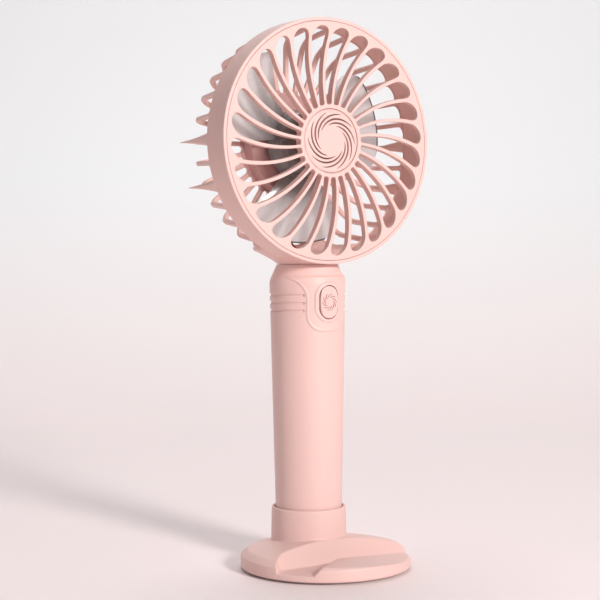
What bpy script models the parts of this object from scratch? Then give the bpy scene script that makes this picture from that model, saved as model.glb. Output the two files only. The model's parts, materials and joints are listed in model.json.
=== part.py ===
"""Handheld electric fan standing in its round desk base.

The frame origin lies on the handle's axis, on the underside of the base pad.  +Z is up
the handle, the fan faces -Y, and +X is to the right of someone facing the grille.
Lengths are in metres.
"""
import math

import bmesh
import bpy
from mathutils import Matrix, Vector

MM = 0.001
GAP = 0.3 * MM                # clearance between touching pieces

# Driving dimensions -------------------------------------------------------------------
HEAD_Z = 181.5 * MM           # height of the fan axis
HEAD_RADIUS = 52.0 * MM
FACE_Y = -18.0 * MM           # plane of the ring's front edge
RING_BACK_Y = -4.2 * MM       # where the solid ring ends and the open cage starts
CAGE_BACK_Y = 17.2 * MM       # outer face of the rear ribs
CAGE_WALL = 2.1 * MM
CAGE_RIBS = 32
CAGE_RIB_WIDTH = 2.0 * MM
DISH_RADIUS = 23.0 * MM       # closed middle of the rear cage, which carries the motor
DISH_BACK_Y = 12.8 * MM       # the middle lies in a shallow well
DISH_INNER_Y = 10.3 * MM
FIN_TIP_Y = 22.0 * MM         # tips of the pointed fins that stand back from four ribs
FIN_PLACES = [("fin_left_upper", 180.0), ("fin_left_lower", 202.5),
              ("fin_right_upper", 0.0), ("fin_right_lower", 337.5)]

GRILLE_RADIUS = 50.3 * MM
GRILLE_RIBS = 28
GRILLE_PHASE = 9.9            # degrees, angle of the first rib at the hub
GRILLE_SWEEP = 12.3           # degrees that a rib turns between hub and rim
GRILLE_BEND = 1.35            # exponent of that turn over the radius
SLOT_INNER = 15.3 * MM
SLOT_OUTER = 48.3 * MM
HUB_RADIUS = 15.2 * MM
HUB_FACE_Y = -19.1 * MM       # the hub stands a little proud of the rim
CAP_RADIUS = 13.4 * MM

BLADES = 3
BLADE_TIP = 43.0 * MM
BLADE_ROOT = 12.3 * MM
BLADE_MIDDLE_Y = 5.6 * MM
BLADE_SLOPE = 0.085 * MM      # how far a blade moves back for each degree
ROTOR_HUB_RADIUS = 15.4 * MM   # at the back; the hub narrows towards the front
COIL_SLOTS = 6

HANDLE_BOTTOM_Z = 12.3 * MM
HANDLE_BOTTOM_RADIUS = 14.1 * MM
SHOULDER_Z = 122.6 * MM
SHOULDER_RADIUS = 16.2 * MM
NECK_Z = 129.5 * MM
NECK_RADIUS = 13.2 * MM
BATTERY_TOP_Z = 82.0 * MM

BUTTON_Z = 113.5 * MM
BUTTON_WIDTH = 8.8 * MM
BUTTON_HEIGHT = 13.9 * MM
BEZEL_WIDTH = 13.0 * MM
BEZEL_HEIGHT = 17.4 * MM
BUTTON_FACE_Y = -17.1 * MM
PORT_Z = 102.0 * MM
PORT_WIDTH = 8.9 * MM
PORT_HEIGHT = 3.2 * MM
LIGHT_Z = 106.2 * MM
BOARD_FRONT_Y = 4.0 * MM
BOARD_BACK_Y = 5.0 * MM

BASE_Y = -13.0 * MM           # centre of the base disc, in front of the handle axis
BASE_RADIUS = 36.5 * MM
BASE_WALL_TOP_Z = 6.0 * MM
DECK_Z = 12.2 * MM            # top of the domed base
COLLAR_RADIUS = 16.2 * MM
COLLAR_BORE = 14.9 * MM
COLLAR_TOP_Z = 24.8 * MM
SOCKET_FLOOR_Z = 12.0 * MM
SLOT_FLOOR_Z = 3.6 * MM
SLOT_BACK_Y = -23.5 * MM      # foot of the leaning wall that a phone rests against
SLOT_FRONT_Y = -32.0 * MM     # back edge of the front lip
SLOT_LEAN = 0.8               # how far that wall leans back for each unit of height
WEIGHT_RADIUS = 29.0 * MM     # the ballast's round back
WEIGHT_FRONT_Y = -17.0 * MM   # its straight front
BASE_SCREW_PLACES = [(0.0, BASE_Y - 31.0 * MM), (-26.6 * MM, BASE_Y + 18.6 * MM),
                     (26.6 * MM, BASE_Y + 18.6 * MM)]

HEAD_STEPS = 64
HANDLE_STEPS = 36
SMALL_STEPS = 20
SMOOTH_ANGLE = math.radians(32)
FLAT_ANGLE = math.radians(0.05)   # faces this close to level are one face

# Colours ------------------------------------------------------------------------------
PINK = (0.86, 0.52, 0.48, 1.0)
PEARL_GREY = (0.52, 0.50, 0.50, 1.0)
STEEL = (0.55, 0.55, 0.56, 1.0)
DARK_STEEL = (0.20, 0.20, 0.21, 1.0)
BRASS = (0.72, 0.52, 0.25, 1.0)
COPPER = (0.72, 0.36, 0.20, 1.0)
BOARD_GREEN = (0.05, 0.22, 0.12, 1.0)
BLACK = (0.03, 0.03, 0.03, 1.0)
RUBBER_GREY = (0.62, 0.60, 0.60, 1.0)
WRAP_BLUE = (0.10, 0.25, 0.55, 1.0)
WHITE = (0.85, 0.85, 0.84, 1.0)
RED = (0.55, 0.04, 0.03, 1.0)


# Modelling helpers --------------------------------------------------------------------
def clear_scene():
    for obj in list(bpy.data.objects):
        bpy.data.objects.remove(obj, do_unlink=True)


def material(name, colour, roughness, metallic=0.0):
    mat = bpy.data.materials.new(name)
    mat.use_nodes = True
    shader = mat.node_tree.nodes["Principled BSDF"]
    shader.inputs["Base Color"].default_value = colour
    shader.inputs["Roughness"].default_value = roughness
    shader.inputs["Metallic"].default_value = metallic
    return mat


def finish_mesh(name, bm, mat=None, parent=None):
    """Turn a closed bmesh into an object whose faces point out."""
    bmesh.ops.remove_doubles(bm, verts=bm.verts, dist=1e-7)
    bmesh.ops.dissolve_limit(bm, angle_limit=FLAT_ANGLE, verts=bm.verts, edges=bm.edges)
    bmesh.ops.recalc_face_normals(bm, faces=bm.faces)
    mesh = bpy.data.meshes.new(name)
    bm.to_mesh(mesh)
    bm.free()
    mesh.shade_smooth()
    mesh.set_sharp_from_angle(angle=SMOOTH_ANGLE)
    obj = bpy.data.objects.new(name, mesh)
    bpy.context.scene.collection.objects.link(obj)
    if mat is not None:
        mesh.materials.append(mat)
    if parent is not None:
        obj.parent = parent
        obj.matrix_parent_inverse = Matrix.Translation(-parent.location)
    return obj


def pivot(name, location):
    """An empty on a joint's axis, which carries the pieces that the joint moves."""
    empty = bpy.data.objects.new(name, None)
    empty.location = location
    bpy.context.scene.collection.objects.link(empty)
    return empty


def guide(obj):
    """Mark an object as a cutter, which isn't a piece of the fan."""
    obj.hide_render = True
    obj.display_type = 'WIRE'
    return obj


def combine(obj, other, operation, solver='EXACT'):
    """Add a Boolean that cuts, joins or trims obj with another object."""
    guide(other)
    boolean = obj.modifiers.new(operation.lower() + "_" + other.name, 'BOOLEAN')
    boolean.operation = operation
    boolean.solver = solver
    boolean.object = other
    return obj


def add_turned(bm, profile, steps, place):
    """Add the solid swept by a closed (radius, height) outline turned full circle."""
    rings = []
    for i in range(steps):
        angle = 2 * math.pi * (i + 0.5) / steps
        rings.append([bm.verts.new(place(r, angle, h)) for r, h in profile])
    count = len(profile)
    for i in range(steps):
        near = rings[i]
        far = rings[(i + 1) % steps]
        for j in range(count):
            k = (j + 1) % count
            if profile[j][0] == 0 and profile[k][0] == 0:
                continue
            bm.faces.new((near[j], near[k], far[k], far[j]))


def about_z(centre_y=0.0, centre_x=0.0):
    """Place a turned point around an upright axis."""
    return lambda r, angle, z: (centre_x + r * math.cos(angle), centre_y + r * math.sin(angle), z)


def about_fan(r, angle, y):
    """A point at a radius and a front-view angle around the fan's axis."""
    return (r * math.cos(angle), y, HEAD_Z + r * math.sin(angle))


def turned(name, profile, steps, place, mat=None, parent=None):
    bm = bmesh.new()
    add_turned(bm, profile, steps, place)
    return finish_mesh(name, bm, mat, parent)


def add_loft(bm, loops):
    """Add a closed solid through outlines that all have the same number of points."""
    rows = [[bm.verts.new(point) for point in loop] for loop in loops]
    count = len(rows[0])
    for low, high in zip(rows, rows[1:]):
        for j in range(count):
            k = (j + 1) % count
            bm.faces.new((low[j], low[k], high[k], high[j]))
    bm.faces.new(rows[0])
    bm.faces.new(reversed(rows[-1]))


def loft(name, loops, mat=None, parent=None):
    bm = bmesh.new()
    add_loft(bm, loops)
    return finish_mesh(name, bm, mat, parent)


def prism_y(name, outline, y0, y1, mat=None, parent=None):
    """A solid with an (x, z) outline between two planes across the fan's axis."""
    return loft(name, [[(x, y, z) for x, z in outline] for y in (y0, y1)], mat, parent)


def prism_z(name, outline, z0, z1, mat=None, parent=None):
    """A solid with an (x, y) outline between two heights."""
    return loft(name, [[(x, y, z) for x, y in outline] for z in (z0, z1)], mat, parent)


def prism_x(name, outline, x0, x1, mat=None, parent=None):
    """A solid with a (y, z) outline between two planes across the base."""
    return loft(name, [[(x, y, z) for y, z in outline] for x in (x0, x1)], mat, parent)


def arc(centre, radius, start, end, steps):
    """Points on an arc in a plane, from one angle in degrees to another."""
    points = []
    for i in range(steps + 1):
        angle = math.radians(start + (end - start) * i / steps)
        points.append((centre[0] + radius * math.cos(angle),
                       centre[1] + radius * math.sin(angle)))
    return points


def stadium(width, height, centre_z, steps=8):
    """An upright slot outline in (x, z) with full round ends."""
    radius = width / 2
    rise = height / 2 - radius
    return (arc((0, centre_z + rise), radius, 0, 180, steps)
            + arc((0, centre_z - rise), radius, 180, 360, steps))


def box(name, low, high, mat=None, parent=None):
    outline = [(low[0], low[1]), (high[0], low[1]), (high[0], high[1]), (low[0], high[1])]
    return prism_z(name, outline, low[2], high[2], mat, parent)


def disc_profile(radius, low, high, bore=0.0):
    return [(radius, low), (radius, high), (bore, high), (bore, low)]


# Base ---------------------------------------------------------------------------------
def make_base_shell(mat):
    rim_z = 1.0 * MM
    cover_recess_z = 2.5 * MM
    profile = [(0, DECK_Z), (8 * MM, 12.1 * MM), (14 * MM, 11.6 * MM), (21 * MM, 10.7 * MM),
               (27 * MM, 9.6 * MM), (33.3 * MM, 8.2 * MM), (35.3 * MM, 7.2 * MM),
               (BASE_RADIUS, BASE_WALL_TOP_Z), (BASE_RADIUS, rim_z),
               (34.6 * MM, rim_z), (34.6 * MM, cover_recess_z), (0, cover_recess_z)]
    shell = turned("base_shell", profile, HEAD_STEPS, about_z(BASE_Y), mat)
    collar = turned("collar_blank", disc_profile(COLLAR_RADIUS, 8 * MM, COLLAR_TOP_Z),
                    HANDLE_STEPS, about_z())
    combine(shell, collar, 'UNION')
    socket = turned("socket_cutter", disc_profile(COLLAR_BORE, SOCKET_FLOOR_Z, 30 * MM),
                    HANDLE_STEPS, about_z())
    combine(shell, socket, 'DIFFERENCE')
    combine(shell, phone_slot_cutter(), 'DIFFERENCE')
    combine(shell, side_opening_cutter(), 'DIFFERENCE')
    combine(shell, weight_outline_cutter(), 'DIFFERENCE')
    for number, (x, y) in enumerate(BASE_SCREW_PLACES):
        pilot = turned("pilot_cutter_%d" % number, disc_profile(1.3 * MM, 2.0 * MM, 5.6 * MM),
                       12, about_z(y, x))
        combine(shell, pilot, 'DIFFERENCE')
    return shell


def phone_slot_cutter():
    """The groove across the base: level floor, leaning back wall and a lower front lip."""
    top_z = DECK_Z + 0.1 * MM
    front = -60 * MM
    back_top_y = SLOT_BACK_Y + SLOT_LEAN * (top_z - SLOT_FLOOR_Z)
    outline = [(SLOT_BACK_Y, SLOT_FLOOR_Z), (back_top_y, top_z), (front, top_z),
               (front, 5.3 * MM), (SLOT_FRONT_Y, 7.3 * MM),
               (SLOT_FRONT_Y + 0.4 * MM, SLOT_FLOOR_Z)]
    return prism_x("phone_slot_cutter", outline, -45 * MM, 45 * MM)


def side_opening_cutter():
    """The groove's left end turns out diagonally through the front wall."""
    outline = [(-9 * MM, -31 * MM), (-23 * MM, -41.5 * MM), (-34 * MM, -50 * MM),
               (-48 * MM, -50 * MM), (-48 * MM, -24.5 * MM), (-20 * MM, -24.5 * MM)]
    return prism_z("side_opening_cutter", outline, SLOT_FLOOR_Z, 13 * MM)


def weight_outline(margin):
    """The half-moon outline of the ballast, behind the phone groove."""
    radius = WEIGHT_RADIUS - margin
    front = WEIGHT_FRONT_Y + margin
    start = math.degrees(math.asin((front - BASE_Y) / radius))
    return arc((0, BASE_Y), radius, start, 180 - start, 24)


def weight_outline_cutter():
    return prism_z("weight_cutter", weight_outline(0), 1.5 * MM, 7.6 * MM)


def make_base_weight(mat):
    return prism_z("base_weight", weight_outline(0.4 * MM), 2.8 * MM, 7.2 * MM, mat)


def make_base_cover(mat):
    cover = turned("base_cover", disc_profile(34.2 * MM, 1.2 * MM, 2.2 * MM), HEAD_STEPS,
                   about_z(BASE_Y), mat)
    for number, (x, y) in enumerate(BASE_SCREW_PLACES):
        hole = turned("cover_hole_cutter_%d" % number, disc_profile(1.3 * MM, 0, 4 * MM), 12,
                      about_z(y, x))
        combine(cover, hole, 'DIFFERENCE')
    return cover


def make_base_screws(mat):
    for number, (x, y) in enumerate(BASE_SCREW_PLACES, start=1):
        profile = [(0, 0.35 * MM), (1.9 * MM, 0.35 * MM), (1.9 * MM, 0.95 * MM),
                   (1.0 * MM, 0.95 * MM), (1.0 * MM, 4.6 * MM), (0, 5.2 * MM)]
        turned("base_screw_%d" % number, profile, 12, about_z(y, x), mat)


def make_base_pad(mat):
    """Non-slip pad glued under the cover, with clearance holes for the screw heads."""
    pad = turned("base_pad", disc_profile(34.2 * MM, 0, 0.9 * MM), HEAD_STEPS,
                 about_z(BASE_Y), mat)
    for number, (x, y) in enumerate(BASE_SCREW_PLACES):
        hole = turned("pad_hole_cutter_%d" % number, disc_profile(2.3 * MM, -MM, 2 * MM), 16,
                      about_z(y, x))
        combine(pad, hole, 'DIFFERENCE')
    return pad


# Handle -------------------------------------------------------------------------------
def handle_radius(z):
    """Outer radius of the tapered grip at a height below the shoulder."""
    share = (z - HANDLE_BOTTOM_Z) / (SHOULDER_Z - HANDLE_BOTTOM_Z)
    return HANDLE_BOTTOM_RADIUS + share * (SHOULDER_RADIUS - HANDLE_BOTTOM_RADIUS)


def grip_profile(proud):
    """The handle's outer outline, from its top down to its bottom, as (radius, z)."""
    return [(NECK_RADIUS + proud, NECK_Z), (SHOULDER_RADIUS - 0.4 * MM + proud, 123.4 * MM),
            (SHOULDER_RADIUS + proud, SHOULDER_Z),
            (HANDLE_BOTTOM_RADIUS + proud, HANDLE_BOTTOM_Z + 0.4 * MM),
            (HANDLE_BOTTOM_RADIUS - 0.4 * MM + proud, HANDLE_BOTTOM_Z)]


def shield_outline():
    """The raised panel around the button: round foot, straight sides and flared top."""
    half = 9.2 * MM
    foot = 6.5 * MM
    foot_z = 101.3 * MM + foot
    right = arc((half - foot, foot_z), foot, 270, 360, 6)
    right += [(half, 115.5 * MM), (9.7 * MM, 118 * MM), (11.0 * MM, 120.6 * MM),
              (13.2 * MM, 122.8 * MM), (16.9 * MM, 124.3 * MM)]
    left = [(-x, z) for x, z in reversed(right)]
    return right + left


def make_handle_shell(mat, parent):
    inner = [(0, HANDLE_BOTTOM_Z), (0, NECK_Z)]
    shell = turned("handle_shell", inner + grip_profile(0), HANDLE_STEPS, about_z(), mat, parent)

    panel = turned("panel_blank", inner + grip_profile(0.4 * MM), HANDLE_STEPS, about_z())
    trim = prism_y("panel_trim", shield_outline(), -22 * MM, -3 * MM)
    combine(panel, trim, 'INTERSECT')
    combine(shell, panel, 'UNION')

    bezel = turned("bezel_blank", inner + grip_profile(0.8 * MM), HANDLE_STEPS, about_z())
    bezel_trim = prism_y("bezel_trim", stadium(BEZEL_WIDTH, BEZEL_HEIGHT, BUTTON_Z),
                         -22 * MM, -5 * MM)
    combine(bezel, bezel_trim, 'INTERSECT')
    combine(shell, bezel, 'UNION')

    bore = [(0, 8 * MM), (0, 135 * MM), (11.5 * MM, 135 * MM), (11.5 * MM, 121 * MM),
            (13.4 * MM, 118.6 * MM), (13.4 * MM, 88 * MM), (11.8 * MM, 85 * MM),
            (11.8 * MM, 16 * MM), (11.8 * MM, 8 * MM)]
    combine(shell, turned("handle_bore_cutter", bore, HANDLE_STEPS, about_z()), 'DIFFERENCE')
    opening = prism_y("button_opening_cutter",
                      stadium(BUTTON_WIDTH + 0.7 * MM, BUTTON_HEIGHT + 0.7 * MM, BUTTON_Z),
                      -22 * MM, -9 * MM)
    combine(shell, opening, 'DIFFERENCE')
    pocket = prism_y("button_pocket_cutter",
                     stadium(BUTTON_WIDTH + 2.8 * MM, BUTTON_HEIGHT + 2.8 * MM, BUTTON_Z),
                     -14.4 * MM, -9 * MM)
    combine(shell, pocket, 'DIFFERENCE')
    combine(shell, port_opening_cutter(), 'DIFFERENCE')
    light = prism_y("light_opening_cutter", stadium(3.0 * MM, 3.01 * MM, LIGHT_Z, 6),
                    8 * MM, 20 * MM)
    combine(shell, light, 'DIFFERENCE')
    combine(shell, grip_groove_cutter(), 'DIFFERENCE')
    return shell


def rounded_rectangle(width, height, centre_z, radius):
    """An (x, z) outline with rounded corners, for the charging port."""
    x = width / 2 - radius
    z = height / 2 - radius
    return (arc((x, centre_z + z), radius, 0, 90, 4) + arc((-x, centre_z + z), radius, 90, 180, 4)
            + arc((-x, centre_z - z), radius, 180, 270, 4)
            + arc((x, centre_z - z), radius, 270, 360, 4))


def port_opening_cutter():
    outline = rounded_rectangle(PORT_WIDTH + 0.7 * MM, PORT_HEIGHT + 0.7 * MM, PORT_Z, 1.6 * MM)
    return prism_y("port_opening_cutter", outline, 8 * MM, 20 * MM)


def grip_groove_cutter():
    """Three level grooves that run around the handle from one side of the panel to the other."""
    pitch = 3.3 * MM
    depth = 0.55 * MM
    half = 0.6 * MM
    start = math.radians(-54)
    sweep = math.radians(288)
    steps = 20
    bm = bmesh.new()
    for i in (-1, 0, 1):
        z = BUTTON_Z - 0.4 * MM + i * pitch
        surface = handle_radius(z)
        section = [(surface - depth, z - half * 0.4), (surface - depth, z + half * 0.4),
                   (surface + MM, z + half * 1.6), (surface + MM, z - half * 1.6)]
        loops = []
        for j in range(steps + 1):
            angle = start + sweep * j / steps
            loops.append([(r * math.cos(angle), r * math.sin(angle), h) for r, h in section])
        add_loft(bm, loops)
    return finish_mesh("grip_groove_cutter", bm)


def make_handle_cap(mat, parent):
    profile = [(0, HANDLE_BOTTOM_Z), (11.0 * MM, HANDLE_BOTTOM_Z),
               (11.4 * MM, HANDLE_BOTTOM_Z + 0.4 * MM), (11.4 * MM, 15.0 * MM), (0, 15.0 * MM)]
    return turned("handle_cap", profile, HANDLE_STEPS, about_z(), mat, parent)


def make_battery(cell_mat, tab_mat, parent):
    cell = [(0, 17.3 * MM), (8.8 * MM, 17.3 * MM), (9.2 * MM, 17.7 * MM),
            (9.2 * MM, BATTERY_TOP_Z - 1.6 * MM), (8.8 * MM, BATTERY_TOP_Z - 1.2 * MM),
            (3.2 * MM, BATTERY_TOP_Z - 1.2 * MM), (3.2 * MM, BATTERY_TOP_Z), (0, BATTERY_TOP_Z)]
    turned("battery_cell", cell, SMALL_STEPS, about_z(), cell_mat, parent)
    for name, low in (("battery_tab_bottom", 16.5 * MM), ("battery_tab_top", 82.3 * MM)):
        box(name, (-3 * MM, -6 * MM, low), (3 * MM, 6 * MM, low + 0.4 * MM), tab_mat, parent)


def make_inner_frame(mat, parent):
    """Channel that cradles the cell, with two arms up to the circuit board."""
    outer = 11.4 * MM
    inner = 9.6 * MM
    reach = 25
    outline = arc((0, 0), outer, reach, 180 - reach, 14) + arc((0, 0), inner, 180 - reach, reach, 14)
    cradle = prism_z("inner_frame", outline, 16.0 * MM, 99.5 * MM, mat, parent)
    web = box("frame_web", (-8.6 * MM, 5.4 * MM, 88.5 * MM), (8.6 * MM, 8.4 * MM, 98.6 * MM))
    combine(cradle, web, 'UNION')
    port_room = box("frame_port_cutter", (-6.5 * MM, 5 * MM, 96 * MM), (6.5 * MM, 13 * MM, 110 * MM))
    combine(cradle, port_room, 'DIFFERENCE')
    return cradle


def make_electronics(mats, parent):
    box("circuit_board", (-7.8 * MM, BOARD_FRONT_Y, 86 * MM), (7.8 * MM, BOARD_BACK_Y, 119.5 * MM),
        mats["board"], parent)
    box("charge_chip", (-2.5 * MM, 2.5 * MM, 92 * MM), (2.5 * MM, BOARD_FRONT_Y - GAP, 98 * MM),
        mats["black"], parent)
    box("motor_driver_chip", (3.4 * MM, 2.7 * MM, 99.5 * MM),
        (7.4 * MM, BOARD_FRONT_Y - GAP, 103.5 * MM), mats["black"], parent)
    box("status_led", (-0.9 * MM, BOARD_BACK_Y + GAP, LIGHT_Z - 0.9 * MM),
        (0.9 * MM, 6.2 * MM, LIGHT_Z + 0.9 * MM), mats["white"], parent)
    make_port(mats["steel"], parent)
    light = [(0, 6.6 * MM), (1.2 * MM, 6.6 * MM), (1.2 * MM, 15.6 * MM), (0.9 * MM, 15.9 * MM),
             (0, 15.9 * MM)]
    turned("status_light", light, 16,
           lambda r, a, h: (r * math.cos(a), h, LIGHT_Z + r * math.sin(a)), mats["white"], parent)
    switch = box("tact_switch", (-3 * MM, 0.9 * MM, BUTTON_Z - 3 * MM),
                 (3 * MM, BOARD_FRONT_Y - GAP, BUTTON_Z + 3 * MM), mats["black"], parent)
    well = turned("plunger_well_cutter", disc_profile(2.0 * MM, 0, 3.0 * MM), 16, about_button)
    combine(switch, well, 'DIFFERENCE')


def about_button(r, angle, y):
    return (r * math.cos(angle), y, BUTTON_Z + r * math.sin(angle))


def make_port(mat, parent):
    outline = rounded_rectangle(PORT_WIDTH, PORT_HEIGHT, PORT_Z, 1.5 * MM)
    port = prism_y("charging_port", outline, BOARD_BACK_Y + GAP, 15.4 * MM, mat, parent)
    mouth = rounded_rectangle(PORT_WIDTH - 0.7 * MM, PORT_HEIGHT - 0.7 * MM, PORT_Z, 1.2 * MM)
    combine(port, prism_y("port_mouth_cutter", mouth, 9.0 * MM, 16 * MM), 'DIFFERENCE')
    tongue = box("port_tongue_blank", (-3.1 * MM, 8 * MM, PORT_Z - 0.35 * MM),
                 (3.1 * MM, 14.2 * MM, PORT_Z + 0.35 * MM))
    combine(port, tongue, 'UNION')
    return port


def make_button(mats, button_pivot, plunger_pivot):
    button = prism_y("power_button", stadium(BUTTON_WIDTH, BUTTON_HEIGHT, BUTTON_Z),
                     BUTTON_FACE_Y, -14.0 * MM, mats["pink"], button_pivot)
    flange = prism_y("button_flange_blank",
                     stadium(BUTTON_WIDTH + 1.8 * MM, BUTTON_HEIGHT + 1.8 * MM, BUTTON_Z),
                     -14.1 * MM, -13.2 * MM)
    combine(button, flange, 'UNION')
    stem = turned("button_stem_blank", disc_profile(1.5 * MM, -13.5 * MM, -0.7 * MM), 16,
                  about_button)
    combine(button, stem, 'UNION')
    turned("switch_plunger", disc_profile(1.6 * MM, -0.35 * MM, 2.4 * MM), 16, about_button,
           mats["white"], plunger_pivot)


# Head ---------------------------------------------------------------------------------
def housing_outer():
    return [(0, FACE_Y), (HEAD_RADIUS - 0.5 * MM, FACE_Y), (HEAD_RADIUS, FACE_Y + 0.5 * MM),
            (HEAD_RADIUS, RING_BACK_Y), (51.2 * MM, RING_BACK_Y), (48.5 * MM, 12.4 * MM),
            (47.7 * MM, 14.2 * MM), (45.6 * MM, 16.4 * MM), (43.9 * MM, CAGE_BACK_Y),
            (20.9 * MM, CAGE_BACK_Y), (19.9 * MM, DISH_BACK_Y), (0, DISH_BACK_Y)]


def housing_inner():
    inner_y = CAGE_BACK_Y - CAGE_WALL
    return [(0, -20 * MM), (50.6 * MM, -20 * MM), (50.6 * MM, -14.9 * MM),
            (49.4 * MM, -14.9 * MM), (49.4 * MM, RING_BACK_Y), (49.1 * MM, RING_BACK_Y),
            (46.4 * MM, 12.1 * MM), (45.9 * MM, 13.1 * MM), (44.4 * MM, 14.6 * MM),
            (43.4 * MM, inner_y), (22.6 * MM, inner_y), (21.4 * MM, DISH_INNER_Y),
            (0, DISH_INNER_Y)]


def slot_half_width(r):
    """Half of the gap between two rear ribs at a radius."""
    return r * math.sin(math.pi / CAGE_RIBS) - CAGE_RIB_WIDTH / 2


def turn_head(point, degrees):
    """Carry a (radial, tangential, y) point to its place around the fan's axis."""
    radial, tangential, y = point
    angle = math.radians(degrees)
    return (radial * math.cos(angle) - tangential * math.sin(angle), y,
            HEAD_Z + radial * math.sin(angle) + tangential * math.cos(angle))


def add_cage_slot(bm, degrees, through_side):
    """The gap between two ribs, open through the flat back and round the corner to the ring.

    The gap's ends at the motor dish and at the ring are round.  Each loop is a slice of
    the gap, from one rib's flank over to the other's.
    """
    end_centre = (DISH_RADIUS - CAGE_RIB_WIDTH / 2) / (1 - math.sin(math.pi / CAGE_RIBS))
    end_radius = slot_half_width(end_centre)
    near = 43 * MM
    far = 54 * MM
    step_y = 8 * MM
    beyond_y = 20 * MM
    slices = 6
    loops = []
    for i in range(slices + 1):
        angle = math.pi * i / slices
        across = math.cos(angle)
        bulge = math.sin(angle)
        start = (end_centre - end_radius * bulge, end_radius * across)
        if through_side:
            outline = [(*start, beyond_y), (far, slot_half_width(far) * across, beyond_y)]
            for r in (far, near):
                half = slot_half_width(r)
                outline.append((r, half * across, RING_BACK_Y + 0.6 * MM + 0.9 * half * (1 - bulge)))
            outline.append((near, slot_half_width(near) * across, step_y))
        else:
            outline = [(*start, beyond_y)]
            for y in (beyond_y, step_y):
                outline.append((46 * MM, slot_half_width(46 * MM) * across, y))
        outline.append((*start, step_y))
        loops.append([turn_head(point, degrees) for point in outline])
    add_loft(bm, loops)


def make_rear_housing(mat, parent):
    housing = turned("rear_housing", housing_outer(), HEAD_STEPS, about_fan, mat, parent)
    pitch = 360 / CAGE_RIBS
    slots = bmesh.new()
    for i in range(CAGE_RIBS):
        middle = (i + 0.5) * pitch
        add_cage_slot(slots, middle, abs(middle - 270) > 2 * pitch)
    combine(housing, finish_mesh("cage_slots_cutter", slots), 'DIFFERENCE', 'MANIFOLD')
    neck = turned("neck_blank", disc_profile(NECK_RADIUS, NECK_Z + GAP, 133.4 * MM), HANDLE_STEPS,
                  about_z())
    combine(housing, neck, 'UNION', 'MANIFOLD')
    cavity = turned("head_cavity_cutter", housing_inner(), HEAD_STEPS, about_fan)
    combine(housing, cavity, 'DIFFERENCE', 'MANIFOLD')
    spigot = turned("spigot_blank", disc_profile(11.1 * MM, 123.0 * MM, 130.2 * MM),
                    SMALL_STEPS, about_z())
    combine(housing, spigot, 'UNION', 'MANIFOLD')
    wire_bore = turned("wire_bore_cutter", disc_profile(2.2 * MM, 118 * MM, 136 * MM), 16,
                       about_z(6.4 * MM))
    combine(housing, wire_bore, 'DIFFERENCE', 'MANIFOLD')
    boss = turned("motor_boss_blank", disc_profile(5.5 * MM, 8.9 * MM, 11 * MM), SMALL_STEPS, about_fan)
    combine(housing, boss, 'UNION', 'MANIFOLD')
    socket = turned("motor_socket_cutter", disc_profile(3.5 * MM, 8 * MM, 12 * MM), SMALL_STEPS,
                    about_fan)
    combine(housing, socket, 'DIFFERENCE', 'MANIFOLD')
    for name, degrees in FIN_PLACES:
        combine(housing, pointed_fin(name, degrees), 'UNION', 'MANIFOLD')
    return housing


def pointed_fin(name, degrees):
    """A pointed fin that stands back from a rib, so that the back can't be covered."""
    half = 0.9 * MM
    root = [(49.2 * MM, half), (49.2 * MM, -half), (45.6 * MM, -half), (45.6 * MM, half)]
    tip = [(50.6 * MM, 0.25 * MM), (50.6 * MM, -0.25 * MM), (50.1 * MM, -0.25 * MM),
           (50.1 * MM, 0.25 * MM)]
    loops = [[turn_head((r, t, 11 * MM), degrees) for r, t in root],
             [turn_head((r, t, FIN_TIP_Y), degrees) for r, t in tip]]
    return loft(name, loops)


def rib_angle(r):
    """How far a front rib has turned clockwise at a radius, in degrees."""
    share = (r - SLOT_INNER) / (SLOT_OUTER - SLOT_INNER)
    return GRILLE_SWEEP * max(share, 0.0) ** GRILLE_BEND


def rib_half_width(r):
    return (0.62 + 0.30 * (r - SLOT_INNER) / (SLOT_OUTER - SLOT_INNER)) * MM


def grille_slot_outline(first_angle):
    """One swept gap of the grille as points (radius, degrees), round at its outer end."""
    pitch = 360 / GRILLE_RIBS
    stations = 5
    round_start = 44.2 * MM
    lower = []
    upper = []
    for i in range(stations):
        r = SLOT_INNER + (round_start - SLOT_INNER) * i / (stations - 1)
        inset = math.degrees(rib_half_width(r) / r)
        turn = first_angle - rib_angle(r)
        lower.append((r, turn + inset))
        upper.append((r, turn + pitch - inset))
    end = []
    half = math.radians(pitch) / 2 * round_start - rib_half_width(round_start)
    for i in range(1, 6):
        angle = math.radians(180 * i / 6)
        r = round_start + (SLOT_OUTER - round_start) * math.sin(angle)
        across = math.degrees(half * math.cos(angle) / r)
        end.append((r, first_angle - rib_angle(r) + pitch / 2 - across))
    return lower + end + list(reversed(upper))


def make_front_grille(mat, parent):
    back_y = -15.2 * MM
    profile = [(0, HUB_FACE_Y + 2.6 * MM), (13.7 * MM, HUB_FACE_Y + 2.6 * MM),
               (13.7 * MM, HUB_FACE_Y), (HUB_RADIUS, HUB_FACE_Y), (48.8 * MM, FACE_Y),
               (GRILLE_RADIUS, FACE_Y), (GRILLE_RADIUS, back_y), (0, back_y)]
    grille = turned("front_grille", profile, 2 * GRILLE_RIBS, about_fan, mat, parent)
    slots = bmesh.new()
    for i in range(GRILLE_RIBS):
        outline = grille_slot_outline(GRILLE_PHASE + i * 360 / GRILLE_RIBS)
        loops = []
        for y in (-21 * MM, -12 * MM):
            loops.append([about_fan(r, math.radians(a), y) for r, a in outline])
        add_loft(slots, loops)
    combine(grille, finish_mesh("grille_slots_cutter", slots), 'DIFFERENCE')
    return grille


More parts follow.
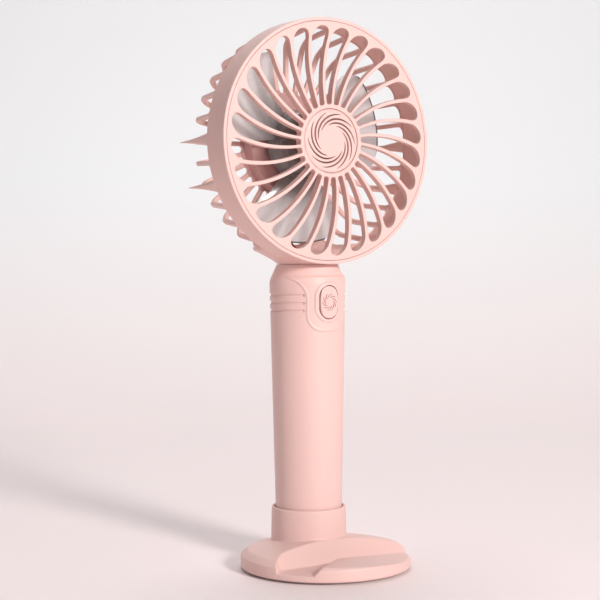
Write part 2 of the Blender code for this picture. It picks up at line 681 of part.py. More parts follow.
def make_hub_cap(mat, parent):
    profile = [(0, HUB_FACE_Y - 0.3 * MM), (8 * MM, HUB_FACE_Y - 0.2 * MM),
               (12.8 * MM, HUB_FACE_Y), (CAP_RADIUS, HUB_FACE_Y + 0.5 * MM),
               (CAP_RADIUS, HUB_FACE_Y + 2.3 * MM), (0, HUB_FACE_Y + 2.3 * MM)]
    return turned("hub_cap", profile, HANDLE_STEPS, about_fan, mat, parent)


# Impeller and motor -------------------------------------------------------------------
def blade_edges(share):
    """Angles of a blade's convex and concave edges, from root (0) to tip (1)."""
    lead = 54 + 5 * math.sin(math.pi * share) - 9 * share ** 8
    trail = -2 - 17 * share ** 2.2 + 18 * max(share - 0.93, 0) / 0.07
    return lead, trail


def add_blade(bm, turn):
    """A broad sickle blade: a thin twisted plate with rounded outer corners."""
    half = 0.55 * MM
    across = 7
    shares = (0, 0.2, 0.4, 0.6, 0.8, 0.92, 0.975, 1.0)
    loops = []
    for share in shares:
        r = BLADE_ROOT + (BLADE_TIP - BLADE_ROOT) * share
        lead, trail = blade_edges(share)
        front = []
        back = []
        for i in range(across + 1):
            angle = trail + (lead - trail) * i / across
            y = BLADE_MIDDLE_Y - BLADE_SLOPE * (angle - 18)
            edge = half * (0.45 if i in (0, across) else 1.0)
            point_angle = math.radians(angle + turn)
            front.append(about_fan(r, point_angle, y - edge))
            back.append(about_fan(r, point_angle, y + edge))
        loops.append(front + list(reversed(back)))
    add_loft(bm, loops)


def make_impeller(mat, parent):
    profile = [(0, -3.0 * MM), (10.5 * MM, -3.0 * MM), (12.8 * MM, -2.3 * MM),
               (14.0 * MM, -0.6 * MM), (ROTOR_HUB_RADIUS, 8.2 * MM),
               (11.7 * MM, 8.2 * MM), (11.7 * MM, -1.5 * MM), (0, -1.5 * MM)]
    impeller = turned("impeller", profile, HANDLE_STEPS, about_fan, mat, parent)
    blades = bmesh.new()
    for i in range(BLADES):
        add_blade(blades, i * 360 / BLADES)
    combine(impeller, finish_mesh("blades_blank", blades), 'UNION')
    return impeller


def make_motor(mats, parent, rotor):
    can = [(1.1 * MM, -1.2 * MM), (11.3 * MM, -1.2 * MM), (11.3 * MM, 7.8 * MM),
           (10.7 * MM, 7.8 * MM), (10.7 * MM, -0.6 * MM), (1.1 * MM, -0.6 * MM)]
    turned("rotor_can", can, SMALL_STEPS, about_fan, mats["steel"], rotor)
    turned("rotor_magnet", disc_profile(10.4 * MM, 0.6 * MM, 7.4 * MM, 9.2 * MM), SMALL_STEPS,
           about_fan, mats["dark"], rotor)
    turned("motor_shaft", disc_profile(0.75 * MM, -1.2 * MM, 11.0 * MM), 16, about_fan,
           mats["steel"], rotor)
    make_stator(mats["dark"], parent)
    tube = disc_profile(3.1 * MM, 0.2 * MM, 11.6 * MM, 2.3 * MM)
    turned("bearing_tube", tube, SMALL_STEPS, about_fan, mats["brass"], parent)
    for name, low in (("bearing_front", 0.6 * MM), ("bearing_rear", 7.2 * MM)):
        turned(name, disc_profile(2.0 * MM, low, low + 3 * MM, 1.05 * MM), 16, about_fan,
               mats["brass"], parent)
    turned("motor_board", disc_profile(8.8 * MM, 7.7 * MM, 8.5 * MM, 3.5 * MM), 32, about_fan,
           mats["board"], parent)


def make_stator(mat, parent):
    """Laminated core: a ring with six T-shaped poles."""
    core = turned("stator_core", disc_profile(4.6 * MM, 1.8 * MM, 6.0 * MM, 3.4 * MM), SMALL_STEPS,
                  about_fan, mat, parent)
    poles = bmesh.new()
    for i in range(COIL_SLOTS):
        turn = 360 * i / COIL_SLOTS
        plan = [(4.2 * MM, -0.8 * MM), (7.6 * MM, -0.8 * MM), (7.8 * MM, -3.0 * MM),
                (8.3 * MM, -3.0 * MM), (8.8 * MM, 0), (8.3 * MM, 3.0 * MM), (7.8 * MM, 3.0 * MM),
                (7.6 * MM, 0.8 * MM), (4.2 * MM, 0.8 * MM)]
        add_loft(poles, [[turn_head((r, t, y), turn) for r, t in plan]
                         for y in (1.8 * MM, 6.0 * MM)])
    combine(core, finish_mesh("stator_poles_blank", poles), 'UNION')
    return core


def make_coils(mat, parent):
    """One winding round each pole, as a closed loop of wire."""
    for i in range(COIL_SLOTS):
        turn = 360 * i / COIL_SLOTS
        name = "stator_coil_%d" % (i + 1)
        loops = []
        for r in (5.2 * MM, 7.3 * MM):
            outer = 1.9 * MM
            loops.append([turn_head((r, t, y), turn)
                          for t, y in ((-outer, 0.9 * MM), (outer, 0.9 * MM),
                                       (outer, 6.9 * MM), (-outer, 6.9 * MM))])
        coil = loft(name, loops, mat, parent)
        window = []
        for r in (4.5 * MM, 8.5 * MM):
            inner = 1.1 * MM
            window.append([turn_head((r, t, y), turn)
                           for t, y in ((-inner, 1.5 * MM), (inner, 1.5 * MM),
                                        (inner, 6.3 * MM), (-inner, 6.3 * MM))])
        combine(coil, loft(name + "_window_cutter", window), 'DIFFERENCE')


def wire_tube(name, points, radius, mat, parent):
    """A round wire through points, as a curve with filled ends."""
    curve = bpy.data.curves.new(name, 'CURVE')
    curve.dimensions = '3D'
    curve.bevel_depth = radius
    curve.bevel_resolution = 1
    curve.use_fill_caps = True
    spline = curve.splines.new('POLY')
    spline.points.add(len(points) - 1)
    for target, point in zip(spline.points, points):
        target.co = (point[0], point[1], point[2], 1.0)
    obj = bpy.data.objects.new(name, curve)
    bpy.context.scene.collection.objects.link(obj)
    curve.materials.append(mat)
    obj.parent = parent
    obj.matrix_parent_inverse = Matrix.Translation(-parent.location)
    return obj


def smooth_route(knots, steps):
    """Points along a Catmull-Rom curve through hand-chosen knots."""
    knots = [Vector(knot) for knot in knots]
    knots = [2 * knots[0] - knots[1]] + knots + [2 * knots[-1] - knots[-2]]
    points = []
    for i in range(1, len(knots) - 2):
        p0, p1, p2, p3 = knots[i - 1:i + 3]
        for j in range(steps):
            t = j / steps
            points.append(0.5 * (2 * p1 + (p2 - p0) * t + (2 * p0 - 5 * p1 + 4 * p2 - p3) * t ** 2
                                 + (3 * p1 - p0 - 3 * p2 + p3) * t ** 3))
    points.append(knots[-2])
    return points


def make_leads(mats, parent):
    """Two motor leads, from the motor board down the lowest rib to the circuit board."""
    radius = 0.35 * MM
    for name, side, mat in (("motor_lead_red", 0.5 * MM, mats["red"]),
                            ("motor_lead_black", -0.5 * MM, mats["black"])):
        knots = [(side, 9.4 * MM, HEAD_Z - 7.5 * MM), (side, 9.75 * MM, HEAD_Z - 12 * MM),
                 (side, 9.8 * MM, HEAD_Z - 21 * MM), (side, 12.4 * MM, HEAD_Z - 24.5 * MM),
                 (side, 13.35 * MM, HEAD_Z - 28 * MM), (side, 13.35 * MM, HEAD_Z - 41 * MM),
                 (side, 11.2 * MM, HEAD_Z - 44.4 * MM),
                 (side, 7.6 * MM, 135 * MM), (side, 6.6 * MM, 131 * MM),
                 (side, 6.3 * MM, 124.5 * MM), (side * 2, 5.2 * MM, 121.8 * MM),
                 (side * 5, 3.2 * MM, 120.4 * MM), (side * 8, 3.0 * MM, 117.5 * MM),
                 (side * 9, 3.3 * MM, 113 * MM)]
        wire_tube(name, smooth_route(knots, 2), radius, mat, parent)


# Assembly -----------------------------------------------------------------------------
def build():
    clear_scene()
    mats = {
        "pink": material("pink_plastic", PINK, 0.5),
        "pearl": material("pearl_grey_plastic", PEARL_GREY, 0.2),
        "steel": material("steel", STEEL, 0.3, 1.0),
        "dark": material("dark_steel", DARK_STEEL, 0.5, 0.8),
        "brass": material("brass", BRASS, 0.35, 1.0),
        "copper": material("copper_wire", COPPER, 0.35, 1.0),
        "board": material("circuit_board_green", BOARD_GREEN, 0.45),
        "black": material("black_plastic", BLACK, 0.5),
        "pad": material("pad_rubber", RUBBER_GREY, 0.9),
        "cell": material("cell_wrap", WRAP_BLUE, 0.35),
        "white": material("white_plastic", WHITE, 0.4),
        "red": material("red_insulation", RED, 0.5),
    }
    make_base_shell(mats["pink"])
    make_base_weight(mats["steel"])
    make_base_cover(mats["pink"])
    make_base_screws(mats["steel"])
    make_base_pad(mats["pad"])

    fan_body = pivot("fan_body", (0, 0, HANDLE_BOTTOM_Z))
    rotor = pivot("impeller_axis", (0, BLADE_MIDDLE_Y, HEAD_Z))
    button_pivot = pivot("button_axis", (0, BUTTON_FACE_Y, BUTTON_Z))
    plunger_pivot = pivot("plunger_axis", (0, 0, BUTTON_Z))

    make_handle_shell(mats["pink"], fan_body)
    make_handle_cap(mats["pink"], fan_body)
    make_battery(mats["cell"], mats["steel"], fan_body)
    make_inner_frame(mats["white"], fan_body)
    make_electronics(mats, fan_body)
    make_button(mats, button_pivot, plunger_pivot)
    make_rear_housing(mats["pink"], fan_body)
    make_front_grille(mats["pink"], fan_body)
    make_hub_cap(mats["pink"], fan_body)
    make_impeller(mats["pearl"], rotor)
    make_motor(mats, fan_body, rotor)
    make_coils(mats["copper"], fan_body)
    make_leads(mats, fan_body)


build()
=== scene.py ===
"""Looks of the handheld electric fan: fine moulded shells, materials, floor, light and camera.

Shapes are given in millimetres in the CAD model's frame, and add_verts turns them into metres.
The origin is under the handle on the floor, +Z is up, and the grille faces -Y.  Angles around
the fan's axis are seen from the front, counter-clockwise from +X.
"""
import json
from math import copysign, cos, exp, hypot, log, pi, radians, sin

import bmesh
import bpy
from mathutils import Matrix, Vector


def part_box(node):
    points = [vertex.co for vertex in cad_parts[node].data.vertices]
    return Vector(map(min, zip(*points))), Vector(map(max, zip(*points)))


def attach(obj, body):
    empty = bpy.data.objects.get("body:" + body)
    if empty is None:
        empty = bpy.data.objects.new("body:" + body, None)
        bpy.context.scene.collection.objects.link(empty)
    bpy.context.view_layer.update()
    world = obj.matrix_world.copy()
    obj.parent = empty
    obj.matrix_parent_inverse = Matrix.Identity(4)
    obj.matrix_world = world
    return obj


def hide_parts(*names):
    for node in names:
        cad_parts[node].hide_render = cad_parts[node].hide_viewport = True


MM = 0.001
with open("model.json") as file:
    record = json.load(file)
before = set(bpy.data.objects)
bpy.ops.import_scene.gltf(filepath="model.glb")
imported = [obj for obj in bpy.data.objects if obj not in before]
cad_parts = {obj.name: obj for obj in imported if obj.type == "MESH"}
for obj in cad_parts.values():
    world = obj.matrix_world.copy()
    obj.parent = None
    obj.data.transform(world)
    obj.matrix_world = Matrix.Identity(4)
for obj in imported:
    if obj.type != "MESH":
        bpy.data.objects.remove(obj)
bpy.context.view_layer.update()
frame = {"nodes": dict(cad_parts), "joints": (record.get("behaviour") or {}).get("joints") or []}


def box_mm(node):
    """The lower and upper corners of a CAD piece."""
    low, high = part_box(node)
    return low / MM, high / MM


# Places read from the frame ---------------------------------------------------------------
SPIN = next(joint for joint in frame["joints"] if joint["name"] == "impeller_spin")
HEAD_Z = SPIN["pos_m"][2] / MM
button_low, button_high = box_mm("power_button")
port_low, port_high = box_mm("charging_port")
light_low, light_high = box_mm("status_light")
pad_low, pad_high = box_mm("base_pad")
BASE_Y = (pad_low.y + pad_high.y) / 2
BUTTON_Z = (button_low.z + button_high.z) / 2
PORT_Z = (port_low.z + port_high.z) / 2
LIGHT_Z = (light_low.z + light_high.z) / 2

# Head
RING_RADIUS = 51.9
RING_LIP_RADIUS = 50.43        # the grille sits inside this lip, on a shelf
RING_SHELF_Y = -14.9
RING_BORE = 49.4
FACE_Y = -18.0
RING_BACK_Y = -4.2             # where the open cage starts
CAGE_RIBS = 32
CAGE_RIB_WIDTH = 2.0
CAGE_BACK_Y = 17.2
CAGE_WALL = 2.1
CAGE_FILLET = 0.5
CAGE_BEND_START = 38.0         # along a rib, where its flat back ends
SHORT_SLOT_END = 45.0          # along a rib, where the slots over the neck end
SKIN_STEPS = 30                # rows of the cage's skin between its slots and the ring
DISH_RADIUS = 23.0             # closed middle of the cage
DISH_BACK_Y = 12.8
DISH_INNER_Y = 10.3
FIN_ANGLES = (180.0, 202.5, 0.0, 337.5)
FIN_ROOT_Y = -3.6
FIN_TIP_Y = 22.0

# Grille
GRILLE_RADIUS = 50.3
GRILLE_RIBS = 28
GRILLE_PHASE = 9.9             # degrees, angle of the first rib at the hub
GRILLE_SWEEP = 12.3            # degrees that a rib turns between hub and rim
GRILLE_BEND = 1.35             # exponent of that turn over the radius
GRILLE_BACK_Y = -15.2
GRILLE_FILLET = 0.32
SLOT_INNER = 15.3
SLOT_OUTER = 48.3
SLOT_ROUND = 44.0              # where a slot's round outer end starts
HUB_RADIUS = 15.2
HUB_FACE_Y = -19.1
RECESS_RADIUS = 13.58
CAP_RADIUS = 13.4

# Handle
HANDLE_BOTTOM_Z = 12.3
HANDLE_BOTTOM_RADIUS = 14.1
SHOULDER_Z = 122.6
SHOULDER_RADIUS = 16.45
NECK_Z = 129.5
NECK_RADIUS = 13.2
BUTTON_WIDTH = 8.8
BUTTON_HEIGHT = 13.9
BEZEL_WIDTH = 13.0
BEZEL_HEIGHT = 17.4
HANDLE_BORE = 11.9
PANEL_BOTTOM_Z = 98            # the stretch of the handle with panel, bezel and grooves
PANEL_TOP_Z = 127
PORT_WIDTH = 8.9
PORT_HEIGHT = 3.2
LIGHT_RADIUS = 1.2
FRONT_WALL = (-22, -9)         # from outside to inside the handle, for openings
BACK_WALL = (8, 20)

# Base
BASE_RADIUS = 36.4
SLOT_FLOOR_Z = 3.6
SLOT_BACK_Y = -23.5
SLOT_LEAN = 0.8                # how far the groove's back wall leans back with its height
SLOT_LIMIT_Y = -16.6           # in front of the collar, where the lean ends
SLOT_END_X = 45                # past the base's edge
LIP_Y = -32.0                  # back edge of the groove's front lip
ABOVE_BASE_Z = 14
COLLAR_RADIUS = 16.2
COLLAR_BORE = 14.9
COLLAR_TOP_Z = 24.8


# Mesh helpers -----------------------------------------------------------------------------
def finish_mesh(name, bm, mats=(), sharp=35, weighted=False):
    """A smooth-shaded object from a bmesh of closed shells."""
    bmesh.ops.remove_doubles(bm, verts=bm.verts, dist=2e-6)
    bmesh.ops.recalc_face_normals(bm, faces=bm.faces)
    mesh = bpy.data.meshes.new(name)
    bm.to_mesh(mesh)
    bm.free()
    obj = bpy.data.objects.new(name, mesh)
    bpy.context.scene.collection.objects.link(obj)
    for mat in mats:
        mesh.materials.append(mat)
    shade(obj, sharp, weighted)
    return obj


def shade(obj, sharp=35, weighted=True):
    """Smooth shading with sharp edges above an angle, in degrees."""
    obj.data.shade_smooth()
    obj.data.set_sharp_from_angle(angle=radians(sharp))
    if weighted:
        normals = obj.modifiers.new("weighted_normals", 'WEIGHTED_NORMAL')
        normals.keep_sharp = True
        normals.weight = 70


def apply_modifiers(obj):
    """Keep the mesh that the modifiers make, and drop the modifiers."""
    graph = bpy.context.evaluated_depsgraph_get()
    made = bpy.data.meshes.new_from_object(obj.evaluated_get(graph))
    obj.modifiers.clear()
    obj.data = made
    return obj


def combine(obj, tools, operation):
    """Boolean the closed tools into obj, and remove them."""
    for tool in tools:
        boolean = obj.modifiers.new(tool.name, 'BOOLEAN')
        boolean.operation = operation
        boolean.solver = 'MANIFOLD'
        boolean.object = tool
    bpy.context.view_layer.update()
    apply_modifiers(obj)
    for tool in tools:
        bpy.data.objects.remove(tool, do_unlink=True)
    return obj


def add_verts(bm, points):
    """New vertices at points in millimetres."""
    return [bm.verts.new([c * MM for c in point]) for point in points]


def add_rows(bm, rows, closed=True):
    """Quads between rows of points that all have the same number of columns."""
    verts = [add_verts(bm, row) for row in rows]
    columns = len(verts[0])
    for near, far in zip(verts, verts[1:]):
        for j in range(columns if closed else columns - 1):
            k = (j + 1) % columns
            corners = [near[j], near[k], far[k], far[j]]
            if len({tuple(round(c * 1e7) for c in v.co) for v in corners}) > 2:
                bm.faces.new(corners)


def add_face(bm, row):
    """Close a flat ring of points with one face."""
    bm.faces.new(add_verts(bm, row))


def add_cap(bm, row):
    """Close a ring of points with a fan around its middle."""
    verts = add_verts(bm, row)
    middle = Vector((0, 0, 0))
    for point in row:
        middle += Vector(point) / len(row)
    centre, = add_verts(bm, [middle])
    for j, vert in enumerate(verts):
        bm.faces.new((vert, verts[(j + 1) % len(verts)], centre))


def loft(name, rows, cap, mats=()):
    """A solid through rings of points, whose two ends are closed by cap."""
    bm = bmesh.new()
    add_rows(bm, rows)
    cap(bm, rows[0])
    cap(bm, rows[-1])
    return finish_mesh(name, bm, mats)


def prism_y(name, outline, y0, y1, mats=()):
    """A solid with an (x, z) outline, between two places on the Y axis."""
    return loft(name, [[(x, y, z) for x, z in outline] for y in (y0, y1)], add_face, mats)


def paint(bm, inside):
    """Give the second material to the faces whose middle passes a test."""
    for face in bm.faces:
        if inside(face.calc_center_median() / MM):
            face.material_index = 1


def about_z(centre_y=0.0, centre_x=0.0):
    """Places points by radius, angle and height about an upright axis."""
    return lambda r, angle, z: (centre_x + r * cos(angle), centre_y + r * sin(angle), z)


def about_fan(r, angle, y):
    return (r * cos(angle), y, HEAD_Z + r * sin(angle))


def fan_rows(profile, angles):
    """Rings about the fan's axis, one for each (radius, y), with a point at each angle."""
    return [[about_fan(r, angle, y) for angle in angles] for r, y in profile]


def arc(centre, radius, start, end, steps):
    """Points (a, b) on an arc between two angles in degrees."""
    points = []
    for i in range(steps + 1):
        angle = radians(start + (end - start) * i / steps)
        points.append((centre[0] + radius * cos(angle), centre[1] + radius * sin(angle)))
    return points


def circle(width, centre_z):
    return arc((0, centre_z), width / 2, 0, 360, 32)[:-1]


def bend(start, corner, end, steps):
    """Points of a curve from start to end that is pulled towards a corner."""
    points = []
    for i in range(steps + 1):
        t = i / steps
        points.append(start * (1 - t) ** 2 + corner * 2 * t * (1 - t) + end * t ** 2)
    return points


def round_profile(corners, radius, steps=4):
    """A closed outline of (radius, height) corners, rounded where it is off the axis."""
    corners = [Vector(corner) for corner in corners]
    outline = []
    for i, here in enumerate(corners):
        before = corners[i - 1] - here
        after = corners[(i + 1) % len(corners)] - here
        if here.x <= 1e-9:
            outline.append(here)
            continue
        reach = min(radius, 0.45 * before.length, 0.45 * after.length)
        outline += bend(here + before.normalized() * reach, here,
                        here + after.normalized() * reach, steps)
    return outline


def turned(name, corners, rounding, steps, place, mats=(), **shading):
    """A solid whose (radius, height) outline, with rounded corners, is turned full circle."""
    outline = round_profile(corners, rounding)
    outline.append(outline[0])
    bm = bmesh.new()
    add_rows(bm, [[place(r, 2 * pi * i / steps, h) for r, h in outline]
                  for i in range(steps + 1)], False)
    return finish_mesh(name, bm, mats, **shading)


def smooth_step(low, high, value):
    t = min(max((value - low) / (high - low), 0.0), 1.0)
    return t * t * (3 - 2 * t)


def spaced(start, end, step):
    """Evenly spaced values from start to end, both included, about a step apart."""
    count = max(1, round(abs(end - start) / step))
    return [start + (end - start) * i / count for i in range(count + 1)]


# Materials --------------------------------------------------------------------------------
class Surface:
    """A Principled material whose colour, roughness and bump come from procedural noise."""

    def __init__(self, name, colour, roughness, metallic=0.0, **settings):
        self.material = bpy.data.materials.new(name)
        self.material.use_nodes = True
        self.tree = self.material.node_tree
        self.shader = self.tree.nodes["Principled BSDF"]
        self.shader.inputs["Metallic"].default_value = metallic
        self.shader.inputs["Roughness"].default_value = roughness
        self.shader.inputs["Base Color"].default_value = (*colour, 1.0)
        for socket, value in settings.items():
            self.shader.inputs[socket.replace("_", " ")].default_value = value
        self.colour = (*colour, 1.0)
        self.place = self.add("ShaderNodeTexCoord").outputs["Object"]
        self.height = None

    def add(self, kind, **inputs):
        """A new node, whose sockets are named with underscores for spaces."""
        node = self.tree.nodes.new(kind)
        for socket, value in inputs.items():
            node.inputs[socket.replace("_", " ")].default_value = value
        return node

    def link(self, output, target):
        self.tree.links.new(output, target)

    def noise(self, scale, detail=3.0, stretch=None):
        node = self.add("ShaderNodeTexNoise", Scale=scale, Detail=detail)
        place = self.place
        if stretch is not None:
            mapping = self.add("ShaderNodeMapping", Scale=stretch)
            self.link(place, mapping.inputs["Vector"])
            place = mapping.outputs["Vector"]
        self.link(place, node.inputs["Vector"])
        return node.outputs["Fac"]

    def ramp(self, value, low, high, start=0.3, end=0.7):
        """Map the value's range from start to end onto low to high."""
        node = self.add("ShaderNodeMapRange", From_Min=start, From_Max=end, To_Min=low, To_Max=high)
        self.link(value, node.inputs["Value"])
        return node.outputs["Result"]

    def tint(self, amount, other):
        """Mix the colour so far with another, by a 0-1 value."""
        mix = self.add("ShaderNodeMix")
        mix.data_type = 'RGBA'
        source = self.shader.inputs["Base Color"]
        if source.is_linked:
            self.link(source.links[0].from_socket, mix.inputs["A"])
        else:
            mix.inputs["A"].default_value = self.colour
        mix.inputs["B"].default_value = (*other, 1.0)
        self.link(amount, mix.inputs["Factor"])
        self.link(mix.outputs["Result"], source)

    def rough(self, value):
        self.link(value, self.shader.inputs["Roughness"])

    def bump(self, height, distance, strength=1.0):
        node = self.add("ShaderNodeBump", Strength=strength, Distance=distance)
        self.link(height, node.inputs["Height"])
        if self.height is not None:
            self.link(self.height, node.inputs["Normal"])
        self.height = node.outputs["Normal"]
        self.link(self.height, self.shader.inputs["Normal"])

    def edges(self):
        """A value that is high on worn convex edges."""
        pointiness = self.add("ShaderNodeNewGeometry").outputs["Pointiness"]
        return self.ramp(pointiness, 0.0, 1.0, 0.52, 0.62)


def moulded(name, colour, roughness, grain=0.00002, **settings):
    """Moulded plastic: spark-eroded grain, faint flow marks and slightly paler edges."""
    surface = Surface(name, colour, roughness, **settings)
    darker = tuple(c * 0.93 for c in colour)
    paler = tuple(min(1.0, c * 1.06 + 0.01) for c in colour)
    surface.tint(surface.ramp(surface.noise(18, 4), 0.0, 0.5), darker)
    surface.tint(surface.ramp(surface.edges(), 0.0, 0.45, 0.0, 1.0), paler)
    surface.rough(surface.ramp(surface.noise(240, 5), roughness - 0.05, roughness + 0.06))
    surface.bump(surface.noise(2600, 2), grain, 0.35)
    surface.bump(surface.noise(45, 2), 0.00004, 0.12)
    return surface.material


def pearl_with_painted_hub_shade():
    """Pearl-grey blade plastic, with painted shade that darkens it towards the hub."""
    surface = Surface("pearl_grey_blade", (0.58, 0.56, 0.56), 0.24, Coat_Weight=0.4,
                      Coat_Roughness=0.1)
    flat = surface.add("ShaderNodeMapping", Location=(0, 0, -HEAD_Z * MM), Scale=(1, 0, 1))
    surface.link(surface.place, flat.inputs["Vector"])
    radius = surface.add("ShaderNodeVectorMath")
    radius.operation = 'LENGTH'
    surface.link(flat.outputs["Vector"], radius.inputs[0])
    # painted shade: darker from 33 mm in to 14 mm from the fan's axis, where the blade roots lie in
    # shade
    surface.tint(surface.ramp(radius.outputs["Value"], 1.0, 0.0, 14 * MM, 33 * MM),
                 (0.13, 0.125, 0.12))
    surface.tint(surface.ramp(surface.noise(60, 4), 0.0, 0.2), (0.44, 0.43, 0.43))
    surface.rough(surface.ramp(surface.noise(300, 4), 0.19, 0.3))
    surface.bump(surface.noise(900, 2), 0.000008, 0.3)
    return surface.material


def metal(name, colour, roughness, stretch=(1, 1, 40)):
    """Turned or drawn metal with fine parallel scratches and small smudges."""
    surface = Surface(name, colour, roughness, 1.0)
    darker = tuple(c * 0.7 for c in colour)
    surface.tint(surface.ramp(surface.noise(90, 4), 0.0, 0.5), darker)
    surface.rough(surface.ramp(surface.noise(500, 3, stretch), roughness - 0.08, roughness + 0.12))
    surface.bump(surface.noise(700, 2, stretch), 0.00001, 0.4)
    return surface.material


def make_materials():
    pink = (0.84, 0.545, 0.50)
    return {
        "pink": moulded("pink_abs", pink, 0.46, Subsurface_Weight=0.06),
        # a darker copy of the pink: painted shade for the inside of the cage's middle and for the
        # button's slits
        "pink_inner": moulded("pink_abs_painted_shade", (0.60, 0.34, 0.32), 0.5),
        "pearl": pearl_with_painted_hub_shade(),
        # near-black grey: painted shade on the blades' tip edges
        "blade_edge": moulded("blade_edge_grey", (0.10, 0.09, 0.09), 0.35),
        "slit": moulded("slit_shadow_pink", (0.18, 0.09, 0.08), 0.6),
        "pad": moulded("non_slip_foam", (0.50, 0.44, 0.43), 0.92, 0.00012),
        "black": moulded("black_nylon", (0.025, 0.025, 0.027), 0.5),
        "white": moulded("white_nylon", (0.82, 0.82, 0.80), 0.42),
        "pipe": moulded("light_pipe_milk", (0.88, 0.87, 0.84), 0.25, Transmission_Weight=0.35),
        "cell": moulded("cell_sleeve_blue", (0.05, 0.14, 0.42), 0.3),
        "board": moulded("solder_resist_green", (0.03, 0.17, 0.08), 0.35),
        "red": moulded("red_silicone", (0.50, 0.03, 0.02), 0.45),
        "black_wire": moulded("black_silicone", (0.02, 0.02, 0.02), 0.45),
        "steel": metal("plated_steel", (0.60, 0.60, 0.60), 0.28),
        "dark": metal("coated_laminations", (0.16, 0.16, 0.17), 0.45, (1, 40, 1)),
        "brass": metal("turned_brass", (0.70, 0.52, 0.26), 0.3, (1, 30, 1)),
        "copper": metal("enamelled_copper", (0.66, 0.30, 0.14), 0.3, (30, 1, 30)),
    }


CAD_MATERIALS = {
    "pink": ("base_cover", "handle_cap"),
    "steel": ("base_weight", "base_screw_1", "base_screw_2", "base_screw_3",
              "battery_tab_bottom", "battery_tab_top", "rotor_can", "motor_shaft"),
    "dark": ("rotor_magnet", "stator_core"),
    "brass": ("bearing_tube", "bearing_front", "bearing_rear"),
    "copper": tuple("stator_coil_%d" % (i + 1) for i in range(6)),
    "board": ("circuit_board", "motor_board"),
    "black": ("charge_chip", "motor_driver_chip", "tact_switch"),
    "white": ("inner_frame", "status_led", "switch_plunger"),
    "cell": ("battery_cell",),
    "red": ("motor_lead_red",),
    "black_wire": ("motor_lead_black",),
}


def finish_cad_nodes(mats):
    """Give the CAD pieces that stay, most of them inside the shells, their materials."""
    for key, nodes in CAD_MATERIALS.items():
        for node in nodes:
            obj = frame["nodes"][node]
            obj.data.materials.clear()
            obj.data.materials.append(mats[key])
            bevel = obj.modifiers.new("edge_break", 'BEVEL')
            bevel.width = 0.08 * MM
            bevel.segments = 2
            bevel.limit_method = 'ANGLE'
            bevel.angle_limit = radians(50)


# Slotted mouldings ------------------------------------------------------------------------
FILLET_STEPS = 3


class Rim:
    """One flank of a slot: a point on its outline, and the way into the rib beside it."""

    def __init__(self, along, angle, normal):
        self.along = along
        self.angle = angle
        self.normal = normal

    def inset(self, distance, radius):
        return (self.along + distance * self.normal[0],
                self.angle + distance * self.normal[1] / radius(self.along))


def flank(points, side, radius):
    """Rims along one flank from its inner tip to its outer tip, for (along, angle) points.

    side is 1 where the rib lies on the flank's counter-clockwise side, and -1 on the other.
    """
    rims = []
    last = len(points) - 1
    for i, (along, angle) in enumerate(points):
        if i in (0, last):
            rims.append(Rim(along, angle, (-1.0 if i == 0 else 1.0, 0.0)))
            continue
        before = points[i - 1]
        after = points[i + 1]
        tangent = Vector((after[0] - before[0], (after[1] - before[1]) * radius(along)))
        tangent.normalize()
        rims.append(Rim(along, angle, (-side * tangent.y, side * tangent.x)))
    return rims


def rib_rows(left, right, fillet, columns, radius, front, back):
    """Closed cross rows of one rib, whose front and back edges are rounded."""
    turns = [pi / 2 * i / FILLET_STEPS for i in range(FILLET_STEPS + 1)]
    round_edge = [(fillet * (1 - cos(a)), fillet * (1 - sin(a))) for a in turns]
    rows = []
    for a, b in zip(left, right):
        start = a.inset(fillet, radius)
        end = b.inset(fillet, radius)
        across = []
        for i in range(1, columns):
            t = i / columns
            across.append((start[0] + (end[0] - start[0]) * t, start[1] + (end[1] - start[1]) * t))
        row = [front(*a.inset(d, radius), depth) for d, depth in round_edge]
        row += [front(*point, 0.0) for point in across]
        row += [front(*b.inset(d, radius), depth) for d, depth in reversed(round_edge)]
        row += [back(*b.inset(d, radius), depth) for d, depth in round_edge]
        row += [back(*point, 0.0) for point in reversed(across)]
        row += [back(*a.inset(d, radius), depth) for d, depth in reversed(round_edge)]
        rows.append(row)
    return rows


def add_ribs(bm, flanks, fillet, columns, radius, front, back):
    """Add the ribs between the slots, and return their inner and outer ends' points."""
    inner_row = []
    outer_row = []
    for left, right in flanks:
        add_rows(bm, rib_rows(left, right, fillet, columns, radius, front, back))
        for row, end in ((inner_row, 0), (outer_row, -1)):
            a = left[end].inset(fillet, radius)
            b = right[end].inset(fillet, radius)
            row += [(a[0] + (b[0] - a[0]) * i / columns, a[1] + (b[1] - a[1]) * i / columns)
                    for i in range(columns)]
    return inner_row, outer_row


# Rear housing -----------------------------------------------------------------------------
def rounded_path(corners, radii, steps):
    """An open path of (r, y) corners, whose inner corners are rounded by the radii in turn."""
    corners = [Vector(corner) for corner in corners]
    path = corners[:1]
    for before, here, after, radius in zip(corners, corners[1:], corners[2:], radii):
        back = before - here
        ahead = after - here
        start = here + back.normalized() * min(radius, back.length / 2)
        end = here + ahead.normalized() * min(radius, ahead.length / 2)
        path += bend(start, here, end, steps)
    return path + corners[-1:]


CAGE_PATH = rounded_path([(0, CAGE_BACK_Y), (43.9, CAGE_BACK_Y), (48.3, 13.4),
                          (51.2, RING_BACK_Y)], (2.2, 2.2), 8)
CAGE_LENGTHS = [0.0]
for near, far in zip(CAGE_PATH, CAGE_PATH[1:]):
    CAGE_LENGTHS.append(CAGE_LENGTHS[-1] + (far - near).length)
RING_START = CAGE_LENGTHS[-1]
SKIN_END = RING_START - 0.2  # where the ring's own profile takes over


